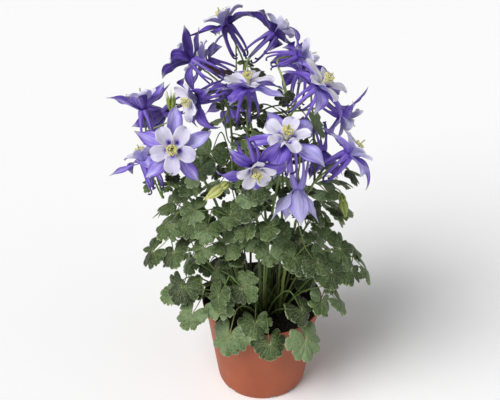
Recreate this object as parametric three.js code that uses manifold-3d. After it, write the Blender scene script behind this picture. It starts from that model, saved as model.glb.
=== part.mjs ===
// A columbine in flower (Aquilegia), growing in a round nursery pot.
// Millimetres, +Z up. The origin is the centre of the pot's base, and the plant's front looks along -Y.
//
// The pot is a thin moulded shell filled with potting soil. Five crowns stand in holes in the soil. Each
// crown is one body: its root neck, its leaf stalks with their compound leaves, its flower stems and buds.
// Every bloom is seated on the end of its stem. It has a violet calyx with the five spurs behind it, a white
// corolla in front, and a yellow tuft of stamens, which is a body of its own where it can be seen.
import * as THREE from "three";
import { mergeVertices } from "three/addons/utils/BufferGeometryUtils.js";
import Module from "manifold-3d";

const wasm = await Module();
wasm.setup();

// ---------- driving dimensions ----------
const POT_RADIUS = 60; // outside of the rim
const POT_HEIGHT = 97;
const POT_BASE_RADIUS = 42.6;
const POT_SHOULDER = [55.6, 83]; // radius and height where the rim band starts
const POT_WALL = 1.4;
const POT_FLOOR = 4.6; // the floor's thickness, into which the drain channels are cut
const POT_FACETS = 30;
const DRAIN_CHANNELS = 12; // every other one has a hole
const CHANNEL_WIDTH = 9;
const CHANNEL_DEPTH = 3;
const CHANNEL_INNER_RADIUS = 25;
const DRAIN_HOLE_RADIUS = 3.2;
const DRAIN_HOLE_AT = 33;

const SOIL_LEVEL = 80;
const SEAT_GAP = 0.3; // between pieces that rest on each other
const SOIL_FACETS = 16;

const CROWN_RING = 15; // distance of each crown from the pot's axis
const CROWN_RADIUS = 5;
const CROWN_DEPTH = 14; // of the root neck below the soil
const CROWN_COLLAR = 6; // height of the neck above the soil
const STEM_RADIUS = 1.6;
const STEM_STEPS = 2; // straight lengths for each stretch of a stem, between the points that it bends at
const STEM_REACH = 38; // how far behind its hub a stem joins the bloom's axis, clear of the ends of the spurs
const HOOK_WIDTH = 9; // of the bend over which a nodding bloom hangs
const PEDICEL_RADIUS = 0.9;
const STALK_RADIUS = 1.0;
const LEAFLET_RIDGE = 1; // by which the middle of a leaflet stands up
const BLADE_THICKNESS = 1.0; // of leaves and petals, along their middle

const SEPAL_LENGTH = 36;
const SEPAL_HALF_WIDTH = 7.6;
const LIMB_LENGTH = 23.5; // the white blade of a petal
const LIMB_HALF_WIDTH = 7.2;
const SPUR_LENGTH = 35;
const SPUR_SECTIONS = [[0.28, 1.5], [0.72, 0.85]]; // share of length and half thickness
const NEIGHBOUR_ROOM = 0.66; // widest half width of a blade, for its distance from the axis
const HUB_RADIUS = 3.1;
const HUB_TOP = 0.3;
const COROLLA_HUB_RADIUS = 1.9;
const RECEPTACLE_RADIUS = 1.8; // the small disc that the stem meets, behind the hub
const RECEPTACLE_DEPTH = 1.8;
const COROLLA_RISE = 1.2; // from the hub to the underside of the corolla
const STAMEN_LENGTH = 14;
const BUD_LENGTH = 19;
const BUD_RADIUS = 4.4;

// Each crown's direction from the pot's axis, in degrees from +X.
const CROWNS = { front: -90, right: -18, back_right: 54, back_left: 126, left: 198 };

// The ways in which a bloom is open: [start, end] slopes of its parts, in degrees above the plane across its
// axis, and whether the tuft of stamens stands clear of the corolla.
const OPEN = { sepals: [24, -24], limbs: [56, 14], spurs: [-64, -102], tuft: true };
const FLAT = { sepals: [14, -24], limbs: [40, 4], spurs: [-60, -100], tuft: true };
const HALF_OPEN = { sepals: [42, 20], limbs: [66, 42], spurs: [-66, -98], tuft: false };
const HANGING = { sepals: [40, 62], limbs: [72, 78], spurs: [-62, -104], tuft: false };
const BACKWARD = { ...OPEN, tuft: false };

// The blooms. stem is a crown, or the number of the bloom whose stem carries this one and the point of that
// stem where it branches off. at is the hub; lean is the tilt of the bloom's axis from upright and heading
// the way it tilts, in degrees from +X; roll turns the petals about the axis; reach, where it isn't
// STEM_REACH, is how far behind the hub the stem joins the axis.
const BLOOMS = [
  { stem: "back_left", at: [-33, 30, 378], lean: 33, heading: 140, roll: 10, form: OPEN, size: 1 },
  { stem: [4, 4], at: [-62, -8, 363], lean: 62, heading: 150, roll: 70, form: HALF_OPEN, size: 0.88,
    reach: 34 },
  { stem: "left", at: [-108, 4, 307], lean: 30, heading: 110, roll: 47, form: HALF_OPEN, size: 0.95 },
  { stem: "left", at: [-56, -50, 349], lean: 95, heading: -152, roll: 20, form: OPEN, size: 0.95, reach: 20 },
  { stem: "front", at: [-14, -40, 353], lean: 8, heading: 90, roll: -22, form: FLAT, size: 0.98 },
  { stem: "back_right", at: [9, 21, 374], lean: 55, heading: 36, roll: 0, form: BACKWARD, size: 0.95 },
  { stem: [8, 4], at: [28, -11, 369], lean: 84, heading: 10, roll: 50, form: OPEN, size: 0.85, reach: 16 },
  { stem: "right", at: [46, -48, 358], lean: 39, heading: -4, roll: 15, form: FLAT, size: 1 },
  { stem: "front", at: [18, -78, 323], lean: 16, heading: -66, roll: 0, form: FLAT, size: 1.08 },
  { stem: "left", at: [-76, -80, 318], lean: 68, heading: -94, roll: 0, form: FLAT, size: 1.02 },
  { stem: [3, 4], at: [-104, -45, 283], lean: 33, heading: 140, roll: 36, form: OPEN, size: 0.9, reach: 36 },
  { stem: "front", at: [-9, -128, 330], lean: 108, heading: -75, roll: 36, form: OPEN, size: 0.9, reach: 28 },
  { stem: [8, 3], at: [30, -61, 266], lean: 157, heading: -90, roll: 0, form: HANGING, size: 1, reach: 40 },
  { stem: "right", at: [74, -40, 287], lean: 54, heading: 20, roll: 16, form: OPEN, size: 1 },
  { stem: [14, 4], at: [71, 16, 297], lean: 129, heading: -15, roll: 38, form: BACKWARD, size: 0.9 },
  { stem: [6, 3], at: [54, -6, 271], lean: 150, heading: -70, roll: 0, form: HANGING, size: 0.85 },
  { stem: [1, 4], at: [-52, 70, 322], lean: 65, heading: 162, roll: 20, form: BACKWARD, size: 1 },
  { stem: [1, 3], at: [-92, 45, 282], lean: 124, heading: 160, roll: 0, form: HANGING, size: 0.9 },
  { stem: [6, 3], at: [38, 92, 300], lean: 60, heading: 75, roll: 12, form: BACKWARD, size: 0.95 },
  { stem: [1, 3], at: [-28, 98, 262], lean: 70, heading: 110, roll: 40, form: BACKWARD, size: 0.95 },
];

// Compound leaves: the crown that the stalk rises from, or the number of the bloom whose stem carries it and
// the point of that stem; the fork, where the stalk divides; how far the leaf turns from the line of its
// stalk and how far it droops below level; the size of a leaflet; and how many times three leaflets it has.
const LEAVES = [
  ["left", [-74, -25, 221], 10, 40, 15, 3],
  ["left", [-87, -18, 184], 0, 45, 16, 3],
  ["left", [-66, -38, 166], 15, 55, 16, 1],
  ["left", [-71, -28, 143], -5, 40, 14, 1],
  ["left", [-56, -44, 136], 10, 38, 15, 3],
  ["left", [-44, -43, 206], -15, 45, 13, 3],
  ["front", [-31, -52, 164], -10, 55, 15, 3],
  ["front", [-24, -50, 122], 0, 60, 19, 1],
  ["front", [4, -54, 114], 5, 60, 17, 1],
  ["front", [30, -50, 118], 0, 55, 19, 1],
  ["right", [61, -22, 128], 5, 50, 15, 3],
  ["right", [86, -20, 162], 5, 50, 14, 3],
  ["right", [56, -40, 183], -20, 45, 15, 3],
  ["front", [3, -48, 209], 5, 45, 13, 3],
  ["right", [53, -12, 222], 10, 35, 13, 3],
  ["front", [-6, -40, 122], 10, 30, 14, 1],
  ["front", [26, -44, 138], 10, 50, 14, 1],
  ["back_right", [66, 30, 136], 0, 45, 16, 3],
  ["back_right", [38, 60, 128], -5, 45, 17, 3],
  ["back_right", [63, 37, 190], 0, 40, 15, 3],
  ["back_right", [26, 70, 192], 0, 40, 16, 3],
  ["back_left", [-26, 66, 126], 0, 45, 17, 3],
  ["back_left", [-64, 34, 138], 0, 45, 16, 3],
  ["back_left", [-34, 66, 196], 0, 40, 18, 1],
  ["back_left", [-78, 28, 196], 0, 40, 15, 3],
  [[9, 3], [-2, -54, 234], 15, 40, 13, 3],
  [[10, 2], [-46, -50, 236], 0, 40, 13, 3],
  [[8, 3], [38, -52, 196], 0, 40, 13, 3],
  [[5, 4], [-16, -66, 290], 40, 35, 13, 1],
  [[4, 4], [-30, -34, 296], 0, 30, 15, 1],
  [[14, 4], [64, -8, 244], 0, 40, 15, 1],
  [[17, 2], [-40, 62, 262], 0, 30, 13, 1],
  [[19, 2], [30, 70, 250], 0, 30, 13, 1],
  [[4, 2], [-44, -38, 291], 0, 35, 16, 1],
  [[5, 2], [-14, -52, 262], 10, 40, 13, 1],
  [[8, 2], [4, -44, 297], 0, 35, 14, 1],
  [[14, 4], [64, -36, 274], 0, 35, 14, 1],
  [[9, 2], [-6, -10, 241], 0, 40, 12, 1],
  [[4, 2], [-38, -16, 296], 70, 40, 15, 1],
  [[5, 2], [-18, -34, 286], 70, 45, 14, 1],
  [[8, 2], [-2, -55, 282], 0, 40, 15, 1],
  [[6, 3], [6, -20, 325], 60, 40, 14, 1],
  [[6, 3], [30, -20, 323], 0, 40, 14, 1],
];

// Buds: the number of the bloom whose stem carries it and the point of that stem; the bud's tip; and
// the tilt of its axis from upright and the way it tilts, in degrees from +X.
const BUDS = [
  [[4, 3], [-51, -72, 261], 114, 210],
  [[14, 4], [77, -26, 211], 165, -30],
  [[1, 5], [-50, 12, 347], 65, 190],
  [[3, 5], [-82, -8, 334], 10, 90],
];

// ---------- small tools ----------
const RAD = Math.PI / 180;

function vec(x, y, z) {
  return new THREE.Vector3(x, y, z);
}

// The unit vector that leans away from upright by lean, towards heading, both in degrees.
function direction(lean, heading) {
  return vec(
    Math.sin(lean * RAD) * Math.cos(heading * RAD),
    Math.sin(lean * RAD) * Math.sin(heading * RAD),
    Math.cos(lean * RAD),
  );
}

// A closed surface that is put together point by point. Its faces all turn the same way.
class Shell {
  points = [];
  faces = [];

  add(point) {
    return this.points.push(point) - 1;
  }

  ring(points) {
    return points.map((point) => this.add(point));
  }

  // Joins two rings of corners. The diagonals alternate, so that both faces of a thin blade are split alike.
  band(from, to) {
    from.forEach((a, k) => {
      const next = (k + 1) % from.length;
      const [b, c, d] = [from[next], to[next], to[k]];
      if (k % 2 === 0) this.faces.push(a, b, c, a, c, d);
      else this.faces.push(a, b, d, b, c, d);
    });
  }

  // Closes a ring with flat faces, at the start of the body or at its end.
  cap(ring, atStart) {
    for (let k = 1; k < ring.length - 1; k++) {
      if (atStart) this.faces.push(ring[0], ring[k + 1], ring[k]);
      else this.faces.push(ring[0], ring[k], ring[k + 1]);
    }
  }

  // Closes a ring at its end in one point.
  tip(ring, point) {
    const end = this.add(point);
    ring.forEach((corner, k) => this.faces.push(corner, ring[(k + 1) % ring.length], end));
  }

  geometry() {
    const geometry = new THREE.BufferGeometry();
    const numbers = this.points.flatMap((point) => point.toArray());
    geometry.setAttribute("position", new THREE.Float32BufferAttribute(numbers, 3));
    geometry.setIndex(this.faces);
    return geometry;
  }
}

// A round body through points. radii gives its radius at each of them.
function taperedTube(points, radii, sides) {
  const shell = new Shell();
  let normal = null;
  const rings = points.map((centre, i) => {
    const before = points[Math.max(i - 1, 0)];
    const after = points[Math.min(i + 1, points.length - 1)];
    const along = after.clone().sub(before).normalize();
    normal ??= vec(along.z, 0, -along.x).lengthSq() > 0.01 ? vec(along.z, 0, -along.x) : vec(0, 1, 0);
    normal = normal.clone().addScaledVector(along, -normal.dot(along)).normalize();
    const binormal = along.clone().cross(normal);
    const corners = Array.from({ length: sides }, (_, k) => {
      const turn = (2 * Math.PI * k) / sides;
      return centre
        .clone()
        .addScaledVector(normal, radii[i] * Math.cos(turn))
        .addScaledVector(binormal, radii[i] * Math.sin(turn));
    });
    return shell.ring(corners);
  });
  shell.cap(rings[0], true);
  rings.slice(1).forEach((ring, i) => shell.band(rings[i], ring));
  shell.cap(rings.at(-1), false);
  return shell.geometry();
}

function solidOf(geometry) {
  const bare = geometry.clone();
  bare.deleteAttribute("normal");
  bare.deleteAttribute("uv");
  const merged = mergeVertices(bare, 1e-4);
  return new wasm.Manifold(
    new wasm.Mesh({
      numProp: 3,
      vertProperties: merged.attributes.position.array,
      triVerts: new Uint32Array(merged.index.array),
    }),
  );
}

function geometryOf(solid) {
  const mesh = solid.getMesh();
  const geometry = new THREE.BufferGeometry();
  geometry.setAttribute("position", new THREE.BufferAttribute(mesh.vertProperties, 3));
  geometry.setIndex(new THREE.BufferAttribute(mesh.triVerts, 1));
  return geometry;
}

function join(geometries) {
  return geometryOf(geometries.map(solidOf).reduce((whole, piece) => whole.add(piece)));
}

// A lathe about +Z. LatheGeometry turns its profile about Y.
function uprightLathe(profile, segments) {
  const points = profile.map(([radius, height]) => new THREE.Vector2(radius, height));
  return new THREE.LatheGeometry(points, segments).rotateX(Math.PI / 2);
}

function uprightCylinder(topRadius, radius, height, sides) {
  return new THREE.CylinderGeometry(topRadius, radius, height, sides).rotateX(Math.PI / 2);
}

function namedMesh(name, geometry, material) {
  const mesh = new THREE.Mesh(geometry, material);
  mesh.name = name;
  return mesh;
}

// ---------- materials ----------
function finish(color, roughness) {
  return new THREE.MeshStandardMaterial({ color, roughness, metalness: 0 });
}
const terracotta = finish(0xad6247, 0.55);
const potting = finish(0x17130f, 0.95);
const leafGreen = finish(0x5a7d4a, 0.6);
const sepalViolet = finish(0x6c55b8, 0.5);
const petalWhite = finish(0xf0eef4, 0.5);
const pollenYellow = finish(0xe3d24a, 0.6);

// ---------- pot and soil ----------
const INNER_BASE = [POT_BASE_RADIUS + 1.6 - POT_WALL, POT_FLOOR];
const INNER_SHOULDER = [POT_SHOULDER[0] - POT_WALL, POT_SHOULDER[1] + 0.6];

function potShell() {
  const outline = [
    [0, 0],
    [POT_BASE_RADIUS, 0],
    [POT_BASE_RADIUS + 1.6, 4],
    [POT_BASE_RADIUS + 2.6, 9],
    POT_SHOULDER,
    [POT_SHOULDER[0] + 2, POT_SHOULDER[1] + 3],
    [POT_RADIUS, POT_HEIGHT],
    [POT_RADIUS - POT_WALL, POT_HEIGHT],
    [POT_SHOULDER[0] + 2 - POT_WALL, POT_SHOULDER[1] + 3.6],
    INNER_SHOULDER,
    INNER_BASE,
    [0, POT_FLOOR],
  ];
  let shell = solidOf(uprightLathe(outline, POT_FACETS));
  const channelLength = POT_RADIUS - CHANNEL_INNER_RADIUS;
  for (let i = 0; i < DRAIN_CHANNELS; i++) {
    const turn = (2 * Math.PI * (i + 0.5)) / DRAIN_CHANNELS;
    const channel = new THREE.BoxGeometry(channelLength, CHANNEL_WIDTH, 2 * CHANNEL_DEPTH)
      .translate(CHANNEL_INNER_RADIUS + channelLength / 2, 0, 0)
      .rotateZ(turn);
    shell = shell.subtract(solidOf(channel));
    if (i % 2 === 1) continue;
    const hole = uprightCylinder(DRAIN_HOLE_RADIUS, DRAIN_HOLE_RADIUS, 4 * POT_FLOOR, 8)
      .translate(DRAIN_HOLE_AT, 0, 0)
      .rotateZ(turn);
    shell = shell.subtract(solidOf(hole));
  }
  return geometryOf(shell);
}

function crownCentre(crown) {
  const turn = CROWNS[crown] * RAD;
  return vec(CROWN_RING * Math.cos(turn), CROWN_RING * Math.sin(turn), SOIL_LEVEL);
}

// The soil's side stays clear of the pot's wall, also at the middle of a facet.
function soilRadius(height) {
  const share = (height - INNER_BASE[1]) / (INNER_SHOULDER[1] - INNER_BASE[1]);
  const wall = INNER_BASE[0] + (INNER_SHOULDER[0] - INNER_BASE[0]) * share;
  return wall * Math.cos(Math.PI / POT_FACETS) - SEAT_GAP;
}

function soilBody() {
  const bottom = POT_FLOOR + SEAT_GAP;
  const edge = SOIL_LEVEL - 3;
  const profile = [
    [0, bottom],
    [soilRadius(bottom), bottom],
    [soilRadius(edge), edge],
    [POT_RADIUS * 0.62, SOIL_LEVEL],
    [0, SOIL_LEVEL + 0.5],
  ];
  let soil = solidOf(uprightLathe(profile, SOIL_FACETS));
  const radius = CROWN_RADIUS + 2 * SEAT_GAP;
  for (const crown of Object.keys(CROWNS)) {
    const centre = crownCentre(crown);
    const hole = uprightCylinder(radius, radius, 2 * (CROWN_DEPTH + SEAT_GAP), 9);
    soil = soil.subtract(solidOf(hole.translate(centre.x, centre.y, centre.z)));
  }
  return geometryOf(soil);
}

// ---------- blooms ----------
// A place on an arc whose slope turns evenly from start to end, in the plane that holds the bloom's axis and
// the direction turn. It gives the point there, the way across the plane and the upper side's direction.
function alongArc(turn, [out, forward], length, [start, end], share) {
  const outward = vec(Math.cos(turn * RAD), Math.sin(turn * RAD), 0);
  const from = start * RAD;
  const bend = (end - start) * RAD;
  const slope = from + bend * share;
  const run = out + (length * (Math.sin(slope) - Math.sin(from))) / bend;
  const rise = forward + (length * (Math.cos(from) - Math.cos(slope))) / bend;
  return {
    point: outward.clone().multiplyScalar(run).setZ(rise),
    across: vec(-outward.y, outward.x, 0),
    face: outward.clone().multiplyScalar(-Math.sin(slope)).setZ(Math.cos(slope)),
  };
}

// The four corners of a blade's section: left edge, upper middle, right edge, lower middle.
function bladeSection({ point, across, face }, halfWidth) {
  const edge = point.clone().addScaledVector(face, halfWidth * 0.16);
  return [
    edge.clone().addScaledVector(across, halfWidth),
    point.clone().addScaledVector(face, BLADE_THICKNESS / 2),
    edge.clone().addScaledVector(across, -halfWidth),
    point.clone().addScaledVector(face, -BLADE_THICKNESS / 2),
  ];
}

// Five blades round the bloom's axis. Each starts between its corner of tops and its corner of lows, which
// are the rims of the hub's two faces. It leaves the faces open, with the lower side between the blades, and
// gives the first ring of each blade.
function addWhorl(shell, { turn, base, length, slopes, widths, sway, tops, lows }) {
  const firstRings = lows.map((low, k) => {
    const bladeTurn = turn + 72 * k;
    const bent = [slopes[0], slopes[1] + sway * Math.sin(2.3 * k + turn)];
    const section = (share, halfWidth) => {
      const place = alongArc(bladeTurn, base, length, bent, share);
      const room = NEIGHBOUR_ROOM * Math.hypot(place.point.x, place.point.y);
      return bladeSection(place, Math.min(halfWidth, room));
    };
    const [left, , right] = shell.ring(section(0, widths[0][1]));
    const rings = [[left, tops[k], right, low]];
    for (const [share, halfWidth] of widths.slice(1)) {
      rings.push(shell.ring(section(share, halfWidth)));
      shell.band(rings.at(-2), rings.at(-1));
    }
    shell.tip(rings.at(-1), alongArc(bladeTurn, base, length, bent, 1).point);
    return rings[0];
  });
  firstRings.forEach(([left], k) => {
    const next = (k + 1) % 5;
    const right = firstRings[next][2];
    shell.faces.push(tops[k], left, right, tops[k], right, tops[next]);
  });
  return firstRings;
}

// Five corners round the bloom's axis.
function fiveCorners(shell, turn, radius, height) {
  const corner = (k) => direction(90, turn + 72 * k).multiplyScalar(radius).setZ(height);
  return [0, 1, 2, 3, 4].map((k) => shell.add(corner(k)));
}

// The calyx: five pointed sepals, and between them five spurs that taper backwards and hook in.
function calyx({ roll, form }) {
  const shell = new Shell();
  const tops = fiveCorners(shell, roll + 36, COROLLA_HUB_RADIUS, HUB_TOP);
  const lows = fiveCorners(shell, roll + 36, RECEPTACLE_RADIUS, -RECEPTACLE_DEPTH);
  const sepals = addWhorl(shell, {
    turn: roll + 36,
    base: [HUB_RADIUS * 0.84, -0.4],
    length: SEPAL_LENGTH,
    slopes: form.sepals,
    widths: [
      [0, HUB_RADIUS * 0.54],
      [0.34, SEPAL_HALF_WIDTH],
      [0.68, SEPAL_HALF_WIDTH * 0.7],
    ],
    sway: 12,
    tops,
    lows,
  });
  sepals.forEach(([left], k) => {
    const next = (k + 1) % 5;
    const along = (share) => alongArc(roll + 72 * (k + 1), [HUB_RADIUS, -1], SPUR_LENGTH, form.spurs, share);
    const rings = [[lows[next], sepals[next][2], left, lows[k]]];
    for (const [share, radius] of SPUR_SECTIONS) {
      const { point, across, face } = along(share);
      const corner = (side, height) =>
        point.clone().addScaledVector(across, side * radius).addScaledVector(face, height * radius);
      rings.push(shell.ring([corner(1, -1), corner(1, 1), corner(-1, 1), corner(-1, -1)]));
      shell.band(rings.at(-2), rings.at(-1));
    }
    shell.tip(rings.at(-1), along(1).point);
  });
  shell.cap(lows, true);
  shell.cap(tops, false);
  return shell.geometry();
}

// The corolla: five rounded white limbs. Where the tuft of stamens is no body of its own, it is a plain
// bundle here.
function corolla({ roll, form }) {
  const shell = new Shell();
  const tops = fiveCorners(shell, roll, COROLLA_HUB_RADIUS * 0.6, COROLLA_RISE + 1);
  const lows = fiveCorners(shell, roll, COROLLA_HUB_RADIUS, COROLLA_RISE);
  const limbs = addWhorl(shell, {
    turn: roll,
    base: [HUB_RADIUS * 0.8, COROLLA_RISE + 0.4],
    length: LIMB_LENGTH,
    slopes: form.limbs,
    widths: [
      [0, HUB_RADIUS * 0.5],
      [0.42, LIMB_HALF_WIDTH * 0.86],
      [0.8, LIMB_HALF_WIDTH * 0.94],
    ],
    sway: 8,
    tops,
    lows,
  });
  limbs.forEach(([left], k) => {
    const next = (k + 1) % 5;
    shell.faces.push(lows[k], limbs[next][2], left, lows[k], lows[next], limbs[next][2]);
  });
  shell.cap(lows, true);
  if (form.tuft) {
    shell.cap(tops, false);
  } else {
    const head = fiveCorners(shell, roll, COROLLA_HUB_RADIUS, COROLLA_RISE + STAMEN_LENGTH * 0.75);
    shell.band(tops, head);
    shell.tip(head, vec(0, 0, COROLLA_RISE + STAMEN_LENGTH));
  }
  return shell.geometry();
}

// The stamens: a bundle that spreads into five points, one of which is the longer style.
function tuft(base) {
  const shell = new Shell();
  const points = 5;
  const levels = [
    { radii: [0.8, 0.8], heights: [0, 0] },
    { radii: [3.8, 1.3], heights: [0.9, 0.6] },
  ];
  const [foot, head] = levels.map(({ radii, heights }, level) => {
    const corners = Array.from({ length: 2 * points }, (_, k) => {
      const turn = (Math.PI * k) / points;
      const radius = radii[k % 2];
      const height = heights[k % 2] + (k === 0 ? 0.35 * level : 0);
      return vec(radius * Math.cos(turn), radius * Math.sin(turn), base + STAMEN_LENGTH * height);
    });
    return shell.ring(corners);
  });
  shell.cap(foot, true);
  shell.band(foot, head);
  shell.tip(head, vec(0, 0, base + STAMEN_LENGTH * 0.7));
  return shell.geometry();
}

function bloomGroup(bloom, number) {
  const group = new THREE.Group();
  const name = "bloom_" + String(number).padStart(2, "0");
  group.add(namedMesh(name + "_calyx", calyx(bloom), sepalViolet));
  group.add(namedMesh(name + "_corolla", corolla(bloom), petalWhite));
  if (bloom.form.tuft) {
    group.add(namedMesh(name + "_stamens", tuft(COROLLA_RISE + 1 + SEAT_GAP), pollenYellow));
  }
  group.rotation.order = "ZYX";
  group.rotation.set(0, bloom.lean * RAD, bloom.heading * RAD);
  group.position.set(...bloom.at);
  group.scale.setScalar(bloom.size);
  return group;
}

// ---------- stems, leaves and crowns ----------
// The crown that a stem or stalk belongs to, directly or through the stem of a numbered bloom.
function crownOf(from) {
  return typeof from === "string" ? from : crownOf(BLOOMS[from[0] - 1].stem);
}

// A place on a crown, to the side that a stem or stalk leaves it on.
function footOnCrown(crown, goal) {
  const foot = crownCentre(crown);
  const away = vec(goal.x - foot.x, goal.y - foot.y, 0).normalize();
  return foot.addScaledVector(away, CROWN_RADIUS * 0.45);
}

function branches(bloom) {
  return typeof bloom.stem !== "string";
}

// Where a stem or stalk starts: on a crown, or at a numbered point of a numbered bloom's stem.
function footOf(from, goal) {
  if (typeof from === "string") return footOnCrown(from, goal);
  return stemLine(BLOOMS[from[0] - 1])[from[1]];
}

// The points of a bloom's stem, from the crown or from the stem it branches off, up to the back of the bloom.
// The stem of a nodding bloom bends over in a hook, beyond the ends of the spurs.
function stemLine(bloom) {
  const hub = vec(...bloom.at);
  const axis = direction(bloom.lean, bloom.heading);
  const foot = footOf(bloom.stem, hub);
  const end = hub.clone().addScaledVector(axis, -bloom.size * RECEPTACLE_DEPTH - SEAT_GAP);
  const behind = hub.clone().addScaledVector(axis, -(bloom.reach ?? STEM_REACH));
  const bow = foot.clone().lerp(behind, branches(bloom) ? 0.45 : 0.36);
  bow.z = foot.z + (behind.z - foot.z) * (branches(bloom) ? 0.6 : 0.55);
  const bends = [foot, bow, behind, end];
  if (axis.z < -0.4) {
    const aside = vec(foot.x - behind.x, foot.y - behind.y, 0).setLength(HOOK_WIDTH);
    bow.addScaledVector(aside, 1.5);
    bends.splice(2, 0, behind.clone().add(aside));
  }
  const curve = new THREE.CatmullRomCurve3(bends, false, "centripetal");
  return curve.getPoints(STEM_STEPS * (bends.length - 1));
}

function stemBody(bloom) {
  const line = stemLine(bloom);
  const thick = branches(bloom) ? PEDICEL_RADIUS * 1.3 : STEM_RADIUS;
  const radii = line.map((_, i) => thick + ((PEDICEL_RADIUS - thick) * i) / (line.length - 1));
  return taperedTube(line, radii, branches(bloom) ? 3 : 4);
}

// A leaf of three leaflets on a stalk, as one thin closed body. The stalk runs through the points of path,
// and the leaf lies at the last one, its middle leaflet pointing along forward, its upper side along face.
function stalkedLeaf(path, stalkRadius, size, forward, face) {
  const outline = [
    [-42, 0.92],
    [-15, 1.02],
    [15, 1.02],
    [42, 0.92],
  ];
  const shell = new Shell();
  const across = face.clone().cross(forward).normalize();
  const up = forward.clone().cross(across);
  const centre = path.at(-1);
  const onBlade = (turn, radius, lift = 0) => {
    const run = radius * size;
    return centre
      .clone()
      .addScaledVector(forward, run * Math.cos(turn * RAD))
      .addScaledVector(across, run * Math.sin(turn * RAD))
      .addScaledVector(up, lift - 0.2 * radius * run);
  };
  const diamond = (point, tangent) => {
    const lift = tangent.clone().cross(across).normalize().multiplyScalar(stalkRadius);
    const side = across.clone().multiplyScalar(stalkRadius);
    return [side, lift, side.clone().negate(), lift.clone().negate()].map((offset) => offset.add(point));
  };
  const rings = path.slice(0, -1).map((point, i) => {
    const before = path[Math.max(i - 1, 0)];
    return shell.ring(diamond(point, path[i + 1].clone().sub(before).normalize()));
  });
  shell.cap(rings[0], true);
  const upper = shell.add(onBlade(0, 0, BLADE_THICKNESS / 2));
  const lower = shell.add(onBlade(0, 0, -BLADE_THICKNESS / 2));
  const rim = [shell.add(onBlade(180, 0.08).addScaledVector(across, -stalkRadius))];
  const hearts = [];
  for (const leaflet of [-98, 0, 98]) {
    outline.forEach(([turn, radius]) => rim.push(shell.add(onBlade(leaflet + turn, radius))));
    if (leaflet < 98) rim.push(shell.add(onBlade(leaflet + 49, 0.55)));
    const lifts = [LEAFLET_RIDGE + BLADE_THICKNESS / 2, LEAFLET_RIDGE - BLADE_THICKNESS / 2];
    hearts.push(lifts.map((lift) => shell.add(onBlade(leaflet, 0.6, lift))));
  }
  rim.push(shell.add(onBlade(180, 0.08).addScaledVector(across, stalkRadius)));
  const edges = outline.length + 1;
  hearts.forEach(([top, low], i) => {
    for (let j = i * edges; j < (i + 1) * edges; j++) {
      shell.faces.push(top, rim[j], rim[j + 1], low, rim[j + 1], rim[j]);
    }
    const [first, last] = [rim[i * edges], rim[(i + 1) * edges]];
    shell.faces.push(top, last, upper, top, upper, first, low, lower, last, low, first, lower);
  });
  rings.push([rim.at(-1), upper, rim[0], lower]);
  rings.slice(1).forEach((ring, i) => shell.band(rings[i], ring));
  return shell.geometry();
}

// The stalk and the blades of a compound leaf, whose blades lie in one drooping plane round its fork.
function compoundLeaf([from, fork, turn, droop, size, units]) {
  const end = vec(...fork);
  const foot = footOf(from, end);
  const heading = Math.atan2(end.y - foot.y, end.x - foot.x) / RAD + turn;
  const forward = direction(90 + droop, heading);
  const face = direction(droop, heading);
  const across = face.clone().cross(forward);
  const bow = foot.clone().lerp(end, 0.5);
  bow.z += 0.1 * (end.z - foot.z) + 5;
  const stalk = new THREE.CatmullRomCurve3([foot, bow, end], false, "centripetal");
  const sides = units === 3 ? [0, -80, 80] : [0];
  return sides.map((side) => {
    const way = forward
      .clone()
      .multiplyScalar(Math.cos(side * RAD))
      .addScaledVector(across, Math.sin(side * RAD))
      .addScaledVector(face, side ? -0.2 : 0)
      .normalize();
    const upper = face.clone().addScaledVector(way, -face.dot(way)).normalize();
    const centre = end.clone().addScaledVector(way, size * (side ? 1.3 : 1.45));
    const path = side ? [end, centre] : [...stalk.getPoints(3), centre];
    return stalkedLeaf(path, STALK_RADIUS * (side ? 0.7 : 1), size, way, upper);
  });
}

function budBody([from, at, lean, heading]) {
  const tip = vec(...at);
  const axis = direction(lean, heading);
  const along = (distance) => tip.clone().addScaledVector(axis, -distance);
  const foot = footOf(from, tip);
  const stalk = [foot, along(BUD_LENGTH * 1.4), along(BUD_LENGTH * 0.9)];
  const swell = [along(BUD_LENGTH), along(BUD_LENGTH * 0.66), along(BUD_LENGTH * 0.33), tip];
  return [
    taperedTube(stalk, [PEDICEL_RADIUS, PEDICEL_RADIUS, PEDICEL_RADIUS], 3),
    taperedTube(swell, [1, BUD_RADIUS, BUD_RADIUS * 0.8, 0.4], 5),
  ];
}

function crownBody(crown) {
  const foot = crownCentre(crown);
  const height = CROWN_DEPTH + CROWN_COLLAR;
  const neck = uprightCylinder(CROWN_RADIUS * 0.7, CROWN_RADIUS, height, 7);
  const pieces = [neck.translate(foot.x, foot.y, foot.z + height / 2 - CROWN_DEPTH)];
  for (const bloom of BLOOMS.filter(({ stem }) => crownOf(stem) === crown)) pieces.push(stemBody(bloom));
  for (const leaf of LEAVES.filter(([from]) => crownOf(from) === crown)) pieces.push(...compoundLeaf(leaf));
  for (const bud of BUDS.filter(([from]) => crownOf(from) === crown)) pieces.push(...budBody(bud));
  return join(pieces);
}

// ---------- the whole plant ----------
const columbine = new THREE.Group();
columbine.add(namedMesh("pot", potShell(), terracotta));
columbine.add(namedMesh("soil", soilBody(), potting));
for (const crown of Object.keys(CROWNS)) {
  columbine.add(namedMesh("crown_" + crown, crownBody(crown), leafGreen));
}
BLOOMS.forEach((bloom, i) => columbine.add(bloomGroup(bloom, i + 1)));

export default columbine;
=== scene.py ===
"""A columbine in flower, growing in a round nursery pot.

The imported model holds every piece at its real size. This add-on dresses it: it makes the pot, the soil, the stems,
the leaves and the blooms again with fine surfaces and finishes, each where its solid is. Tables are in
millimetres and degrees, and everything that is made is in metres, +Z up. The front of the plant looks along -Y.
"""

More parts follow.
